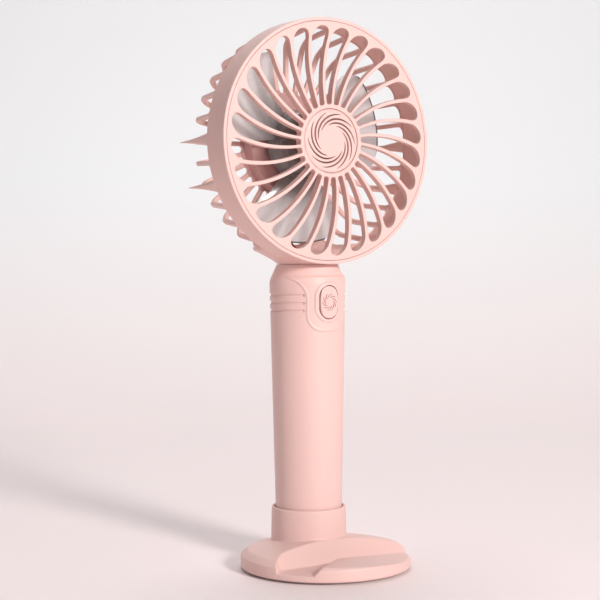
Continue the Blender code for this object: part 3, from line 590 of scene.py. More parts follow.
def cage_profile(along):
    """Radius, y and outward direction of the cage's skin at a length from the middle."""
    i = 0
    while i < len(CAGE_PATH) - 2 and CAGE_LENGTHS[i + 1] < along:
        i += 1
    near, far = CAGE_PATH[i], CAGE_PATH[i + 1]
    t = (along - CAGE_LENGTHS[i]) / (CAGE_LENGTHS[i + 1] - CAGE_LENGTHS[i])
    point = near + (far - near) * t
    step = (path_direction(i + 1) * t + path_direction(i) * (1 - t)).normalized()
    return point.x, point.y, (-step.y, step.x)


def path_direction(i):
    """Direction of the cage's path at one of its points."""
    near = CAGE_PATH[max(i - 1, 0)]
    far = CAGE_PATH[min(i + 1, len(CAGE_PATH) - 1)]
    return (far - near).normalized()


def cage_radius(along):
    return max(cage_profile(along)[0], 0.001)


def cage_front(along, angle, depth):
    """A point a depth below the cage's outer skin."""
    r, y, out = cage_profile(along)
    return about_fan(r - depth * out[0], angle, y - depth * out[1])


def cage_back(along, angle, depth):
    return cage_front(along, angle, CAGE_WALL - depth)


def cage_gap(along):
    """Half of the gap between two ribs, which flare where they meet the ring."""
    flare = max(1 - (RING_START - along) / 5.0, 0.0)
    width = CAGE_RIB_WIDTH + 2.4 * flare ** 3
    return cage_radius(along) * sin(pi / CAGE_RIBS) - width / 2


def cage_slot_flank(short):
    """One flank of a cage slot from tip to tip, as (along, half width).

    A short slot ends above the neck.  Every flank has the same number of points.
    """
    steps = 6
    bend_steps = 44
    start = (DISH_RADIUS - CAGE_RIB_WIDTH / 2) / (1 - sin(pi / CAGE_RIBS))
    start_radius = cage_gap(start)
    tip = SHORT_SLOT_END if short else RING_START - 0.7
    end_gap = cage_gap(tip - 1.6)
    end_depth = end_gap * (0.9 if short else 0.55)
    end = tip - end_depth
    points = [(start - start_radius * cos(radians(90 * i / steps)),
               start_radius * sin(radians(90 * i / steps))) for i in range(steps)]
    lengths = spaced(start, CAGE_BEND_START, 3.0)
    lengths += [CAGE_BEND_START + (end - CAGE_BEND_START) * i / bend_steps
                for i in range(1, bend_steps + 1)]
    points += [(length, cage_gap(length)) for length in lengths]
    end_gap = cage_gap(end)
    for i in range(1, steps + 1):
        a = radians(90 * i / steps)
        points.append((end + end_depth * sin(a), end_gap * cos(a)))
    return points


def ring_profile():
    """The ring from the cage's outer skin, round its front lip and back to the inner skin."""
    r, y, out = cage_profile(SKIN_END)
    corners = [(r, y), (r + 0.05, RING_BACK_Y), (RING_RADIUS, RING_BACK_Y - 0.1),
               (RING_RADIUS, FACE_Y), (RING_LIP_RADIUS, FACE_Y), (RING_LIP_RADIUS, RING_SHELF_Y),
               (RING_BORE, RING_SHELF_Y), (RING_BORE, RING_BACK_Y),
               (r - CAGE_WALL * out[0], y - CAGE_WALL * out[1])]
    return rounded_path(corners, (0.1, 0.4, 0.55, 0.22, 0.15, 0.2, 0.1), 4)


def cage_flanks():
    """The two flanks of each rib of the cage, from the closed middle to the ring."""
    pitch = 2 * pi / CAGE_RIBS
    for i in range(CAGE_RIBS):
        sides = []
        for slot, side in (((i - 0.5) * pitch, 1), ((i + 0.5) * pitch, -1)):
            over_neck = abs(slot % (2 * pi) - 1.5 * pi) < 2 * pitch
            points = [(along, slot + side * half / cage_radius(along))
                      for along, half in cage_slot_flank(over_neck)]
            sides.append(flank(points, side, cage_radius))
        yield sides


def make_rear_housing(mats):
    """The head's ring and its rear cage, with the neck, the fins and the motor's seat."""
    bm = bmesh.new()
    inner_row, outer_row = add_ribs(bm, cage_flanks(), CAGE_FILLET, 4, cage_radius, cage_front,
                                    cage_back)
    for place in (cage_front, cage_back):
        add_dish(bm, inner_row, place)
        add_rows(bm, [[place(along + (SKIN_END - along) * step / SKIN_STEPS, angle, 0.0)
                       for along, angle in outer_row] for step in range(SKIN_STEPS + 1)])
    add_rows(bm, fan_rows(ring_profile(), [angle for _, angle in outer_row]))
    housing = finish_mesh("rear_housing_moulding", bm, [mats["pink"], mats["pink_inner"]])
    tools = [neck_saddle()]
    for number, place in enumerate(FIN_ANGLES):
        tools.append(pointed_fin("fin_%d" % number, radians(place)))
    tools.append(prism_y("motor_boss", circle(11, HEAD_Z), 8.9, 11))
    combine(housing, tools, 'UNION')
    socket = prism_y("motor_socket", circle(7, HEAD_Z), 8, 12)
    combine(housing, [socket], 'DIFFERENCE')
    # painted shade: the inner faces of the cage's closed middle get the darker pink
    inner_y = CAGE_BACK_Y - CAGE_WALL + 0.3
    for polygon in housing.data.polygons:
        centre = polygon.center / MM
        in_middle = hypot(centre.x, centre.z - HEAD_Z) < DISH_RADIUS + 1.5
        if in_middle and centre.y < inner_y and polygon.normal.y < 0.5:
            polygon.material_index = 1
    shade(housing)
    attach(housing, "fan_body")
    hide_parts("rear_housing")


def add_dish(bm, edge, place):
    """The closed middle of the cage: a shallow round well with a fine stepped ring in it."""
    if place is cage_front:
        profile = [(edge[0][0] - 1.0, CAGE_BACK_Y), (21.2, CAGE_BACK_Y),
                   (20.8, CAGE_BACK_Y - 0.15), (20.6, CAGE_BACK_Y - 0.5),
                   (20.1, DISH_BACK_Y + 0.5), (19.9, DISH_BACK_Y + 0.12),
                   (19.4, DISH_BACK_Y), (16.6, DISH_BACK_Y),
                   (16.5, DISH_BACK_Y - 0.35), (15.9, DISH_BACK_Y - 0.35),
                   (15.8, DISH_BACK_Y), (8, DISH_BACK_Y), (0.6, DISH_BACK_Y)]
    else:
        inner_y = CAGE_BACK_Y - CAGE_WALL
        profile = [(22.5, inner_y), (22.2, inner_y - 0.3),
                   (21.6, DISH_INNER_Y + 0.4), (21.3, DISH_INNER_Y),
                   (8, DISH_INNER_Y), (0.6, DISH_INNER_Y)]
    rows = [[place(along, angle, 0.0) for along, angle in edge]]
    rows += fan_rows(profile, [angle for _, angle in edge])
    add_rows(bm, rows)
    add_cap(bm, rows[-1])


def neck_saddle():
    """The neck, which flares out into the housing above it, without the room inside the head."""
    rows = []
    columns = 96
    start_z = NECK_Z + 0.25
    head_z = 137
    for z in spaced(start_z, head_z, 0.35):
        flare = ((z - start_z) / 3.7) ** 1.2
        side, front, back = (min(NECK_RADIUS + growth * flare, limit)
                             for growth, limit in ((7.3, 26), (1.5, 15.5), (1.0, 14.2)))
        row = []
        for i in range(columns):
            a = 2 * pi * i / columns
            row.append((side * cos(a), (back if a < pi else front) * sin(a), z))
        rows.append(row)
    cavity = turned("neck_cavity", [(0, -25), (50.6, -25), (50.5, -4.6), (50.0, -3.9),
                                      (47.1, 14.6), (0, 25)], 0.05, 192, about_fan)
    return combine(loft("neck_saddle", rows, add_cap), [cavity], 'DIFFERENCE')


def pointed_fin(name, angle):
    """A thorn that stands back from a rib: flared at the ring, sharp at its tip."""
    steps = 14
    columns = 16
    rows = []
    for i in range(steps + 1):
        t = i / steps
        y = FIN_ROOT_Y + (FIN_TIP_Y - FIN_ROOT_Y) * t
        half = (2.6 * (1 - t) ** 1.6 + 0.95 * (1 - t) ** 0.6) * 0.8 + 0.06
        outer = 51.1 - 0.9 * t
        inner = outer - (2.0 * (1 - t) + 1.6 * sin(pi * t) + 0.25)
        row = []
        for j in range(columns):
            a = 2 * pi * j / columns
            across, rise = (copysign(abs(v) ** 0.7, v) for v in (cos(a), sin(a)))
            across *= half
            r = (outer + inner) / 2 + (outer - inner) / 2 * rise
            row.append((r * cos(angle) - across * sin(angle), y,
                        HEAD_Z + r * sin(angle) + across * cos(angle)))
        rows.append(row)
    return loft(name, rows, add_cap)


# Front grille -----------------------------------------------------------------------------
def rib_turn(r):
    """How far a front rib has turned clockwise at a radius, in radians."""
    share = max((r - SLOT_INNER) / (SLOT_OUTER - SLOT_INNER), 0.0)
    return radians(GRILLE_SWEEP) * share ** GRILLE_BEND


def rib_half(r):
    """Half of a front rib's width at a radius."""
    return 0.62 + 0.30 * (r - SLOT_INNER) / (SLOT_OUTER - SLOT_INNER)


def grille_face_y(r):
    """The front face is a shallow cone from the hub to the rim."""
    share = min(max((r - HUB_RADIUS) / 33.6, 0.0), 1.0)
    return HUB_FACE_Y + (FACE_Y - HUB_FACE_Y) * share


def grille_front(r, angle, depth):
    return about_fan(r, angle, grille_face_y(r) + depth)


def grille_back(r, angle, depth):
    return about_fan(r, angle, GRILLE_BACK_Y - depth)


def grille_flank(first_angle, side):
    """One flank of the swept slot that starts beside a rib, tip to tip.

    side is -1 for the flank on the rib's own edge, the slot's clockwise side, and 1 for the
    flank on the next rib.  The outer end is rounder on the counter-clockwise side.
    """
    pitch = 2 * pi / GRILLE_RIBS
    end_steps = 8
    corner = 0.75
    points = []
    for i in range(5):
        a = radians(90 * i / 4)
        r = SLOT_INNER + corner * (1 - cos(a))
        half = pitch / 2 - rib_half(r) / r
        share = 1 - corner / (half * r) * (1 - sin(a))
        if i == 0:
            share = 0.0
        points.append((r, half * share))
    for r in spaced(SLOT_INNER + corner, SLOT_ROUND, 2.2)[1:]:
        points.append((r, pitch / 2 - rib_half(r) / r))
    power = 0.66 if side < 0 else 1.0
    half = (pitch / 2 - rib_half(SLOT_ROUND) / SLOT_ROUND) * SLOT_ROUND
    for i in range(1, end_steps + 1):
        a = radians(90 * i / end_steps)
        r = SLOT_ROUND + (SLOT_OUTER - SLOT_ROUND) * sin(a) ** power
        points.append((r, half * cos(a) / r))
    middle = first_angle + pitch / 2
    return [(r, middle - rib_turn(r) + side * half) for r, half in points]


def own_radius(r):
    """The grille's ribs lie flat, so the length along a rib is its radius."""
    return r


def grille_flanks():
    """The two flanks of each front rib, from the hub to the rim."""
    pitch = 2 * pi / GRILLE_RIBS
    for i in range(GRILLE_RIBS):
        first = radians(GRILLE_PHASE) + i * pitch
        yield (flank(grille_flank(first - pitch, 1), 1, own_radius),
               flank(grille_flank(first, -1), -1, own_radius))


def make_front_grille(mats):
    """The swept ribs between the grille's hub and its rim."""
    bm = bmesh.new()
    inner_row, outer_row = add_ribs(bm, grille_flanks(), GRILLE_FILLET, 5, own_radius,
                                    grille_front, grille_back)
    add_hub(bm, inner_row)
    start = outer_row[0][0]
    front_round = 0.25
    back_round = 0.2
    rim = [(r, grille_face_y(r)) for r in (start, 49.2)]
    rim += arc((GRILLE_RADIUS - front_round, FACE_Y + front_round), front_round, -90, 0, 4)
    rim += arc((GRILLE_RADIUS - back_round, GRILLE_BACK_Y - back_round), back_round, 0, 90, 3)
    rim += [(start, GRILLE_BACK_Y)]
    add_rows(bm, fan_rows(rim, [angle for _, angle in outer_row]))
    grille = finish_mesh("front_grille_moulding", bm, [mats["pink"]], weighted=True)
    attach(grille, "fan_body")
    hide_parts("front_grille")


def add_hub(bm, edge):
    """The grille's hub: a raised ring round the recess that holds the cap."""
    angles = [angle for _, angle in edge]
    start = edge[0][0]
    floor = HUB_FACE_Y + 2.55
    lip = 0.35
    front = [(start, HUB_FACE_Y), (14.75, HUB_FACE_Y)]
    front += arc((RECESS_RADIUS + lip, HUB_FACE_Y + lip), lip, -90, -180, 4)
    front += [(r, floor) for r in (RECESS_RADIUS, RECESS_RADIUS - 1, 6, 0.5)]
    back = [(r, GRILLE_BACK_Y) for r in (start, 13, 6, 0.5)]
    for profile in (front, back):
        rows = fan_rows(profile, angles)
        add_rows(bm, rows)
        add_cap(bm, rows[-1])


# Swirl of curved slits --------------------------------------------------------------------
class Swirl:
    """Curved slits in a round face, each tapering to a point at both ends."""

    def __init__(self, count, inner, outer, sweep, width, depth, phase):
        self.count = count
        self.inner = inner
        self.outer = outer
        self.sweep = radians(sweep)
        self.width = width
        self.depth = depth
        self.phase = radians(phase)

    def share(self, r):
        return min(max((r - self.inner) / (self.outer - self.inner), 0.0), 1.0)

    def turn(self, r):
        return self.phase - self.sweep * self.share(r) ** 0.85

    def half_angle(self, r):
        """Half of the slit's angular width, widened because the slit crosses slantwise."""
        slant = (self.outer - self.inner) / hypot(self.outer - self.inner,
                                                       self.sweep * (self.inner + self.outer) / 2)
        taper = max(sin(pi * self.share(r)), 0.0) ** 0.45
        return max(self.width / 2 * taper, 0.02) / (r * slant)

    def columns(self):
        """Column places as (slit widths from the slit's middle, share of the gap beyond)."""
        return [(-1.0, 0.0), (-0.8, 0.0), (0.0, 0.0), (0.8, 0.0), (1.0, 0.0), (1.0, 0.2),
                (1.0, 0.5), (1.0, 0.8)]

    def row(self, r, face):
        """Points (r, angle, height) around the face at a radius."""
        points = []
        pitch = 2 * pi / self.count
        half = min(self.half_angle(r), pitch * 0.4)
        inside = 0.0 < self.share(r) < 1.0
        for i in range(self.count):
            middle = self.turn(r) + i * pitch
            for across, gap in self.columns():
                angle = middle + across * half + gap * (pitch - 2 * half)
                deep = self.depth if inside and abs(across) < 0.9 else 0.0
                points.append((r, angle, face(r) + deep))
        return points

    def radii(self):
        """Rows from the slits' inner ends to their outer ends, closer together at the ends."""
        count = 34
        return [self.inner + (self.outer - self.inner) * (1 - cos(pi * i / count)) / 2
                for i in range(count + 1)]


def make_hub_cap(mats):
    """The crowned cap in the grille's middle, with its swirl of slits."""
    swirl = Swirl(count=10, inner=6.5, outer=12.0, sweep=112, width=0.8, depth=0.9, phase=35)

    def face(r):
        """Front face height: a low crown that rolls off at the edge."""
        edge = max((r - 12.3) / 1.1, 0.0)
        return HUB_FACE_Y - 0.28 * (1 - (r / CAP_RADIUS) ** 2) + 0.45 * edge ** 2

    def in_slit(centre):
        return (swirl.inner < hypot(centre.x, centre.z - HEAD_Z) < swirl.outer
                and HUB_FACE_Y + swirl.depth * 0.45 < centre.y < HUB_FACE_Y + 1.2)

    radii = [0.5, 2, 4, 5.6] + swirl.radii()
    radii += [12.1, 12.4, 12.7, 12.95, 13.15, 13.3, CAP_RADIUS]
    rows = [[about_fan(r, a, y) for r, a, y in swirl.row(r0, face)] for r0 in radii]
    back_y = HUB_FACE_Y + 2.3
    rows += fan_rows([(r, back_y) for r in (CAP_RADIUS, CAP_RADIUS - 0.2, 5, 0.5)],
                     [a for _, a, _ in swirl.row(CAP_RADIUS, face)])
    bm = bmesh.new()
    add_rows(bm, rows)
    add_cap(bm, rows[0])
    add_cap(bm, rows[-1])
    paint(bm, in_slit)
    cap = finish_mesh("hub_cap_swirl", bm, [mats["pink"], mats["slit"]], sharp=40, weighted=True)
    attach(cap, "fan_body")
    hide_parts("hub_cap")


# Impeller ---------------------------------------------------------------------------------
BLADES = 3
BLADE_TIP = 43.0
BLADE_ROOT = 12.0
BLADE_MIDDLE_Y = SPIN["pos_m"][1] / MM
BLADE_SLOPE = 0.085            # how far a blade moves back for each degree


def blade_edges(share):
    """Angles of a blade's convex and concave edges, from root (0) to tip (1), in degrees."""
    lead = 54 + 5 * sin(pi * share) - 9 * share ** 8
    trail = -2 - 17 * share ** 2.2 + 18 * max(share - 0.93, 0) / 0.07
    return lead, trail


def add_blade(bm, turn):
    """One sickle blade, turned by an angle in degrees: slightly cambered, thinner at its tip."""
    half = 0.52
    across = 22
    along = 26
    rows = []
    for step in range(along + 1):
        share = 1 - (1 - step / along) ** 1.5
        r = BLADE_ROOT + (BLADE_TIP - BLADE_ROOT) * share
        lead, trail = blade_edges(share)
        thin = half * (1.0 - 0.45 * share)
        front = []
        back = []
        for i in range(across + 1):
            u = i / across
            angle = trail + (lead - trail) * u
            y = BLADE_MIDDLE_Y - BLADE_SLOPE * (angle - 18)
            y += 0.5 * sin(pi * u) * share
            edge = thin * (0.12 + 0.88 * (1 - abs(2 * u - 1) ** 10) ** 0.5)
            place = radians(angle + turn)
            front.append(about_fan(r, place, y - edge))
            back.append(about_fan(r, place, y + edge))
        rows.append(front + list(reversed(back)))
    add_rows(bm, rows)
    # painted shade: faces at the blade's tip edge, and the cap at its tip, get the dark grey
    paint(bm, lambda c: hypot(c.x, c.z - HEAD_Z) > BLADE_TIP - 0.55)
    for row in (rows[0], rows[-1]):
        verts = add_verts(bm, row)
        for j in range(across):
            face = bm.faces.new((verts[j], verts[j + 1], verts[-2 - j], verts[-1 - j]))
            face.material_index = 1 if row is rows[-1] else 0


def make_impeller(mats):
    pearl = [mats["pearl"], mats["blade_edge"]]
    hub = turned("impeller_moulding",
                 [(0, -3.0), (11.2, -3.0), (13.7, -1.4), (15.3, 8.2), (11.7, 8.2),
                    (11.7, -1.5), (0, -1.5)], 1.2, 96, about_fan, pearl)
    blades = []
    for i in range(BLADES):
        bm = bmesh.new()
        add_blade(bm, i * 360 / BLADES)
        blades.append(finish_mesh("blade_%d" % i, bm, pearl))
    combine(hub, blades, 'UNION')
    shade(hub, 50)
    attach(hub, "impeller")
    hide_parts("impeller")


# Handle -----------------------------------------------------------------------------------
def handle_base_radius(z):
    """Outer radius of the bare handle: a taper, a rounded shoulder and a cone to the neck."""
    taper = HANDLE_BOTTOM_RADIUS + (SHOULDER_RADIUS - HANDLE_BOTTOM_RADIUS) * (
        (z - HANDLE_BOTTOM_Z) / (SHOULDER_Z - HANDLE_BOTTOM_Z))
    cone = NECK_RADIUS + (NECK_Z - z) * (SHOULDER_RADIUS - 0.1 - NECK_RADIUS) / (
        NECK_Z - SHOULDER_Z)
    soft = 0.25
    joined = min(taper, cone)
    if abs(taper - cone) < 20 * soft:
        joined = -soft * log(exp(-taper / soft) + exp(-cone / soft))
    foot = max(HANDLE_BOTTOM_Z + 0.5 - z, 0.0)
    return joined - foot ** 2


def shield_outline():
    """The raised panel's outline as (arc length from the front line, z), right half first."""
    half = 9.75
    foot = 7.0
    right = arc((half - foot, 101.3 + foot), foot, 270, 360, 12)
    right += [(9.75, 112.0), (9.75, 115.5), (10.2, 117.6), (11.3, 119.6), (12.9, 121.4),
                (15.2, 122.9), (18.9, 124.3)]
    return right + [(-u, z) for u, z in reversed(right)]


def stadium(width, height, centre_z, steps=24):
    """An upright slot shape as (x, z)."""
    radius = width / 2
    rise = height / 2 - radius
    return (arc((0, centre_z + rise), radius, 0, 180, steps)
            + arc((0, centre_z - rise), radius, 180, 360, steps))


def outline_depth(outline, u, z):
    """Distance from a point to a closed outline, positive inside."""
    nearest = 1000.0
    inside = False
    count = len(outline)
    for i in range(count):
        ax, az = outline[i]
        bx, bz = outline[(i + 1) % count]
        dx, dz = bx - ax, bz - az
        length = dx * dx + dz * dz
        t = min(max(((u - ax) * dx + (z - az) * dz) / length, 0.0), 1.0) if length else 0.0
        nearest = min(nearest, hypot(u - ax - t * dx, z - az - t * dz))
        if (az > z) != (bz > z) and u < ax + (z - az) * dx / dz:
            inside = not inside
    return nearest if inside else -nearest


def bezel_depth(u, z):
    """The same for the upright slot shape of the button's bezel."""
    rise = (BEZEL_HEIGHT - BEZEL_WIDTH) / 2
    dz = max(abs(z - BUTTON_Z) - rise, 0.0)
    return BEZEL_WIDTH / 2 - hypot(u, dz)


def groove_depth(u, z):
    """Depth of the three grip grooves, which stop with round ends beside the panel."""
    start = 11.35
    half = 0.66
    deepest = 0.0
    for i in (-1, 0, 1):
        dz = z - (BUTTON_Z - 0.4 + i * 3.3)
        away = hypot(max(start - u, 0.0), dz) / half
        if away < 1.0:
            end = max(1 - abs(u - start) / 1.1, 0.0)
            deepest = max(deepest, (0.55 + 0.3 * end) * (1 - away * away) ** 0.75)
    return deepest


def handle_radius(u, z, outline):
    """Outer radius at an arc length u from the front line."""
    r = handle_base_radius(z)
    side = abs(u)
    if not PANEL_BOTTOM_Z < z < PANEL_TOP_Z:
        return r
    if side < 22:
        depth = outline_depth(outline, side, z)
        r += 0.24 * smooth_step(-0.6, 0.6, depth)
        r += 0.22 * max(1 - (depth / 0.85 - 0.2) ** 2, 0.0) ** 2
    if side < 9:
        r += 0.42 * smooth_step(-0.25, 0.5, bezel_depth(side, z))
    return r - groove_depth(side, z)


def handle_columns():
    """Angles from the front line all the way round, closer together at the panel."""
    fine = spaced(-78, 78, 0.5)
    coarse = spaced(78, 282, 3.0)[1:-1]
    return [radians(a) for a in fine + coarse]


def handle_heights():
    """Heights of the handle's rows, closer together along the panel."""
    low = [HANDLE_BOTTOM_Z + rise for rise in (0, 0.15, 0.3, 0.5)]
    grip = spaced(HANDLE_BOTTOM_Z + 1.5, 100, 8)
    panel = spaced(100, 126, 0.16)[1:]
    neck = spaced(126, NECK_Z, 0.5)[1:]
    return low + grip + panel + neck


def handle_point(r, angle, z):
    """A point at an angle from the front line, -Y, towards +X."""
    return (r * sin(angle), -r * cos(angle), z)


def make_handle(mats):
    """The tapered grip with its panel, bezel, grooves and openings."""
    outline = shield_outline()
    columns = handle_columns()
    rows = []
    for z in handle_heights():
        reach = handle_base_radius(z)
        row = []
        for angle in columns:
            signed = (angle + pi) % (2 * pi) - pi
            row.append(handle_point(handle_radius(signed * reach, z, outline), angle, z))
        rows.append(row)
    for z in (NECK_Z, HANDLE_BOTTOM_Z):
        rows.append([handle_point(HANDLE_BORE, angle, z) for angle in columns])
    rows.append(rows[0])
    bm = bmesh.new()
    add_rows(bm, rows)
    handle = finish_mesh("handle_moulding", bm, [mats["pink"], mats["pink_inner"]])
    combine(handle, handle_cutters(), 'DIFFERENCE')
    shade(handle, 40)
    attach(handle, "fan_body")
    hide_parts("handle_shell")


def rounded_rectangle(width, height, radius):
    """The charging inlet's shape as (x, z)."""
    x = width / 2 - radius
    z = height / 2 - radius
    outline = []
    for start, side_x, side_z in ((0, 1, 1), (90, -1, 1), (180, -1, -1), (270, 1, -1)):
        outline += arc((side_x * x, PORT_Z + side_z * z), radius, start, start + 90, 8)
    return outline


def handle_cutters():
    """The openings for the button, its flange behind the wall, the inlet and the light."""
    gap = 0.7
    flange = 2.8
    return [
        prism_y("button_opening", stadium(BUTTON_WIDTH + gap, BUTTON_HEIGHT + gap, BUTTON_Z),
                *FRONT_WALL),
        prism_y("button_pocket", stadium(BUTTON_WIDTH + flange, BUTTON_HEIGHT + flange, BUTTON_Z),
                -14.4, FRONT_WALL[1]),
        prism_y("port_opening", rounded_rectangle(PORT_WIDTH + gap, PORT_HEIGHT + gap, 1.6),
                *BACK_WALL),
        prism_y("light_opening", circle(2 * LIGHT_RADIUS + 0.6, LIGHT_Z), *BACK_WALL),
    ]


# Button, port and light -------------------------------------------------------------------
def make_button(mats):
    """The power button: a flat slot shape with a small swirl of slits, and a flange behind."""
    face_y = button_low.y
    swirl = Swirl(count=10, inner=1.8, outer=3.8, sweep=60, width=0.42, depth=0.4, phase=20)

    def face(_):
        return face_y + 0.12

    def in_slit(centre):
        return (hypot(centre.x, centre.z - BUTTON_Z) < swirl.outer
                and face_y + 0.2 < centre.y < face_y + 0.8)

    rows = [[(r * cos(a), y, BUTTON_Z + r * sin(a)) for r, a, y in swirl.row(r0, face)]
            for r0 in [0.3, 0.8, 1.3] + swirl.radii()]
    inner = rows[-1]
    rim = stadium_ring(swirl, BUTTON_WIDTH / 2)
    for share, drop in ((0.2, 0.12), (0.5, 0.12), (0.8, 0.14), (0.9, 0.2), (0.95, 0.3),
                        (0.985, 0.45), (1.0, 0.7), (1.0, 2.6)):
        rows.append([(x + (rim_x - x) * share, face_y + drop, z + (rim_z - z) * share)
                     for (x, _, z), (rim_x, rim_z) in zip(inner, rim)])
    flange = stadium_ring(swirl, BUTTON_WIDTH / 2 + 0.8)
    for y in (face_y + 3.1, face_y + 3.7):
        rows.append([(x, y, z) for x, z in flange])
    bm = bmesh.new()
    add_rows(bm, rows)
    add_cap(bm, rows[0])
    add_face(bm, rows[-1])
    # painted shade: the slits' faces get the darker pink
    paint(bm, in_slit)
    button = finish_mesh("power_button_cap", bm, [mats["pink"], mats["pink_inner"]], sharp=50,
                         weighted=True)
    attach(button, "button")
    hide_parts("power_button")


def stadium_ring(swirl, half_width):
    """Points on a slot outline at the swirl's column angles, as (x, z)."""
    rise = (BUTTON_HEIGHT - BUTTON_WIDTH) / 2
    points = []
    pitch = 2 * pi / swirl.count
    half = min(swirl.half_angle(swirl.outer), pitch * 0.4)
    for i in range(swirl.count):
        middle = swirl.turn(swirl.outer) + i * pitch
        for across, gap in swirl.columns():
            angle = middle + across * half + gap * (pitch - 2 * half)
            x = half_width * cos(angle)
            z = half_width * sin(angle)
            lift = rise * max(-1.0, min(1.0, sin(angle) * 1.9))
            points.append((x, BUTTON_Z + z + lift))
    return points


def make_port(mats):
    """The charging inlet: a drawn steel shell with a black tongue inside."""
    wall = 0.3
    shell = prism_y("charging_port_shell", rounded_rectangle(PORT_WIDTH, PORT_HEIGHT, 1.5),
                    port_low.y, port_high.y, [mats["steel"]])
    mouth = prism_y("port_mouth",
                    rounded_rectangle(PORT_WIDTH - 2 * wall, PORT_HEIGHT - 2 * wall, 1.25),
                    9.0, port_high.y + 1)
    combine(shell, [mouth], 'DIFFERENCE')
    shade(shell, 40)
    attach(shell, "fan_body")
    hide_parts("charging_port")
    tongue = prism_y("charging_port_tongue", rounded_rectangle(6.4, 0.7, 0.2),
                     8.5, port_high.y - 1.1, [mats["black"]])
    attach(tongue, "fan_body")


def make_status_light(mats):
    corners = [(0, light_low.y), (LIGHT_RADIUS, light_low.y), (LIGHT_RADIUS, light_high.y),
               (0, light_high.y)]
    pipe = turned("status_light_pipe", corners, 0.35, 32,
                  lambda r, a, h: (r * cos(a), h, LIGHT_Z + r * sin(a)),
                  [mats["pipe"]], weighted=True)
    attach(pipe, "fan_body")
    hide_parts("status_light")


# Base -------------------------------------------------------------------------------------
def wall_y(z):
    """Where the groove's leaning back wall stands at a height."""
    return min(SLOT_BACK_Y + SLOT_LEAN * (z - SLOT_FLOOR_Z), SLOT_LIMIT_Y)


def phone_groove():
    """Cutter of the groove: level floor, leaning back wall, and a mouth at its left end.

    The mouth runs out through the front wall.  Its right side rises to the lip in an
    S-curve, and its left side leaves a round nose at the end of the back wall.
    """
    lip_rise = 3.9
    nose = Vector((-33.7, -27.1))
    rows = []
    for z in spaced(SLOT_FLOOR_Z, ABOVE_BASE_Z, 0.5):
        rise = smooth_step(0.0, 1.0, (z - SLOT_FLOOR_Z) / lip_rise)
        inner = Vector((-12.0 + 5.2 * rise, -31.7))
        outer = Vector((-25.2 + 4.6 * rise, -41.2))
        left = Vector((-29.5 + 3.5 * smooth_step(6.5, 10, z), wall_y(z)))
        outline = [Vector((SLOT_END_X, inner.y)), inner, outer, outer + (outer - inner) * 0.9,
                   nose + (nose - left) * 3.2, nose, left, Vector((SLOT_END_X, left.y))]
        rows.append([(point.x, point.y, z) for point in outline])
    return loft("phone_groove", rows, add_face)


def lip_top():
    """Cutter that leaves the low front lip, which rolls off towards its right end."""
    front_y = -60
    rows = []
    for x in spaced(-SLOT_END_X, SLOT_END_X, 1.5):
        height = 7.6 - 0.04 * max(x + 7, 0) - 0.07 * max(min(x, 31) - 24, 0) ** 2
        slope = 0.05 + 0.06 * smooth_step(0, 24, x)
        rows.append([(x, LIP_Y + 4, height), (x, LIP_Y + 4, ABOVE_BASE_Z),
                     (x, front_y, ABOVE_BASE_Z), (x, front_y, height + (front_y - LIP_Y) * slope),
                     (x, LIP_Y, height)])
    return loft("lip_top", rows, add_face)


def make_base(mats):
    """The domed base with its collar, the handle's socket and the phone groove."""
    base = turned("base_moulding",
                  [(0, 12.2), (8, 12.1), (14, 11.6), (21, 10.7), (27, 9.6), (33.3, 8.2),
                   (BASE_RADIUS, 6.0), (BASE_RADIUS, 1.0), (34.6, 1.0), (34.6, 2.5), (0, 2.5)],
                  0.25, 180, about_z(BASE_Y), [mats["pink"]])
    collar = turned("collar", [(0, 8), (COLLAR_RADIUS + 0.25, 8),
                               (COLLAR_RADIUS - 0.1, COLLAR_TOP_Z), (0, COLLAR_TOP_Z)],
                    0.3, 128, about_z())
    socket = turned("socket", [(0, 12), (COLLAR_BORE, 12), (COLLAR_BORE, 30),
                               (0, 30)], 0.1, 128, about_z())
    combine(base, [collar], 'UNION')
    combine(base, [socket, phone_groove(), lip_top()], 'DIFFERENCE')
    soften(base, 0.34, 6)
    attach(base, "stand")
    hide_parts("base_shell")


def soften(obj, voxel, rounds):
    """Rebuild a solid as an even fine mesh and relax it, which rounds all its edges alike."""
    remesh = obj.modifiers.new("even_mesh", 'REMESH')
    remesh.mode = 'VOXEL'
    remesh.voxel_size = voxel * MM
    relax = obj.modifiers.new("relax", 'SMOOTH')
    relax.factor = 0.5
    relax.iterations = rounds
    bpy.context.view_layer.update()
    apply_modifiers(obj)
    obj.data.shade_smooth()


def make_pad(mats):
    """The foam pad under the base, with a hole over each screw."""
    radius = (pad_high.x - pad_low.x) / 2
    corners = [(0, 0.0), (radius, 0.0), (radius, pad_high.z), (0, pad_high.z)]
    pad = turned("base_pad_foam", corners, 0.2, 128, about_z(BASE_Y), [mats["pad"]])
    holes = []
    for number in (1, 2, 3):
        low, high = box_mm("base_screw_%d" % number)
        holes.append(turned("pad_hole_%d" % number, [(0, -1), (2.3, -1), (2.3, 2), (0, 2)],
                            0.05, 32, about_z((low.y + high.y) / 2, (low.x + high.x) / 2)))
    combine(pad, holes, 'DIFFERENCE')
    shade(pad, 40)
    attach(pad, "stand")
    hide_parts("base_pad")


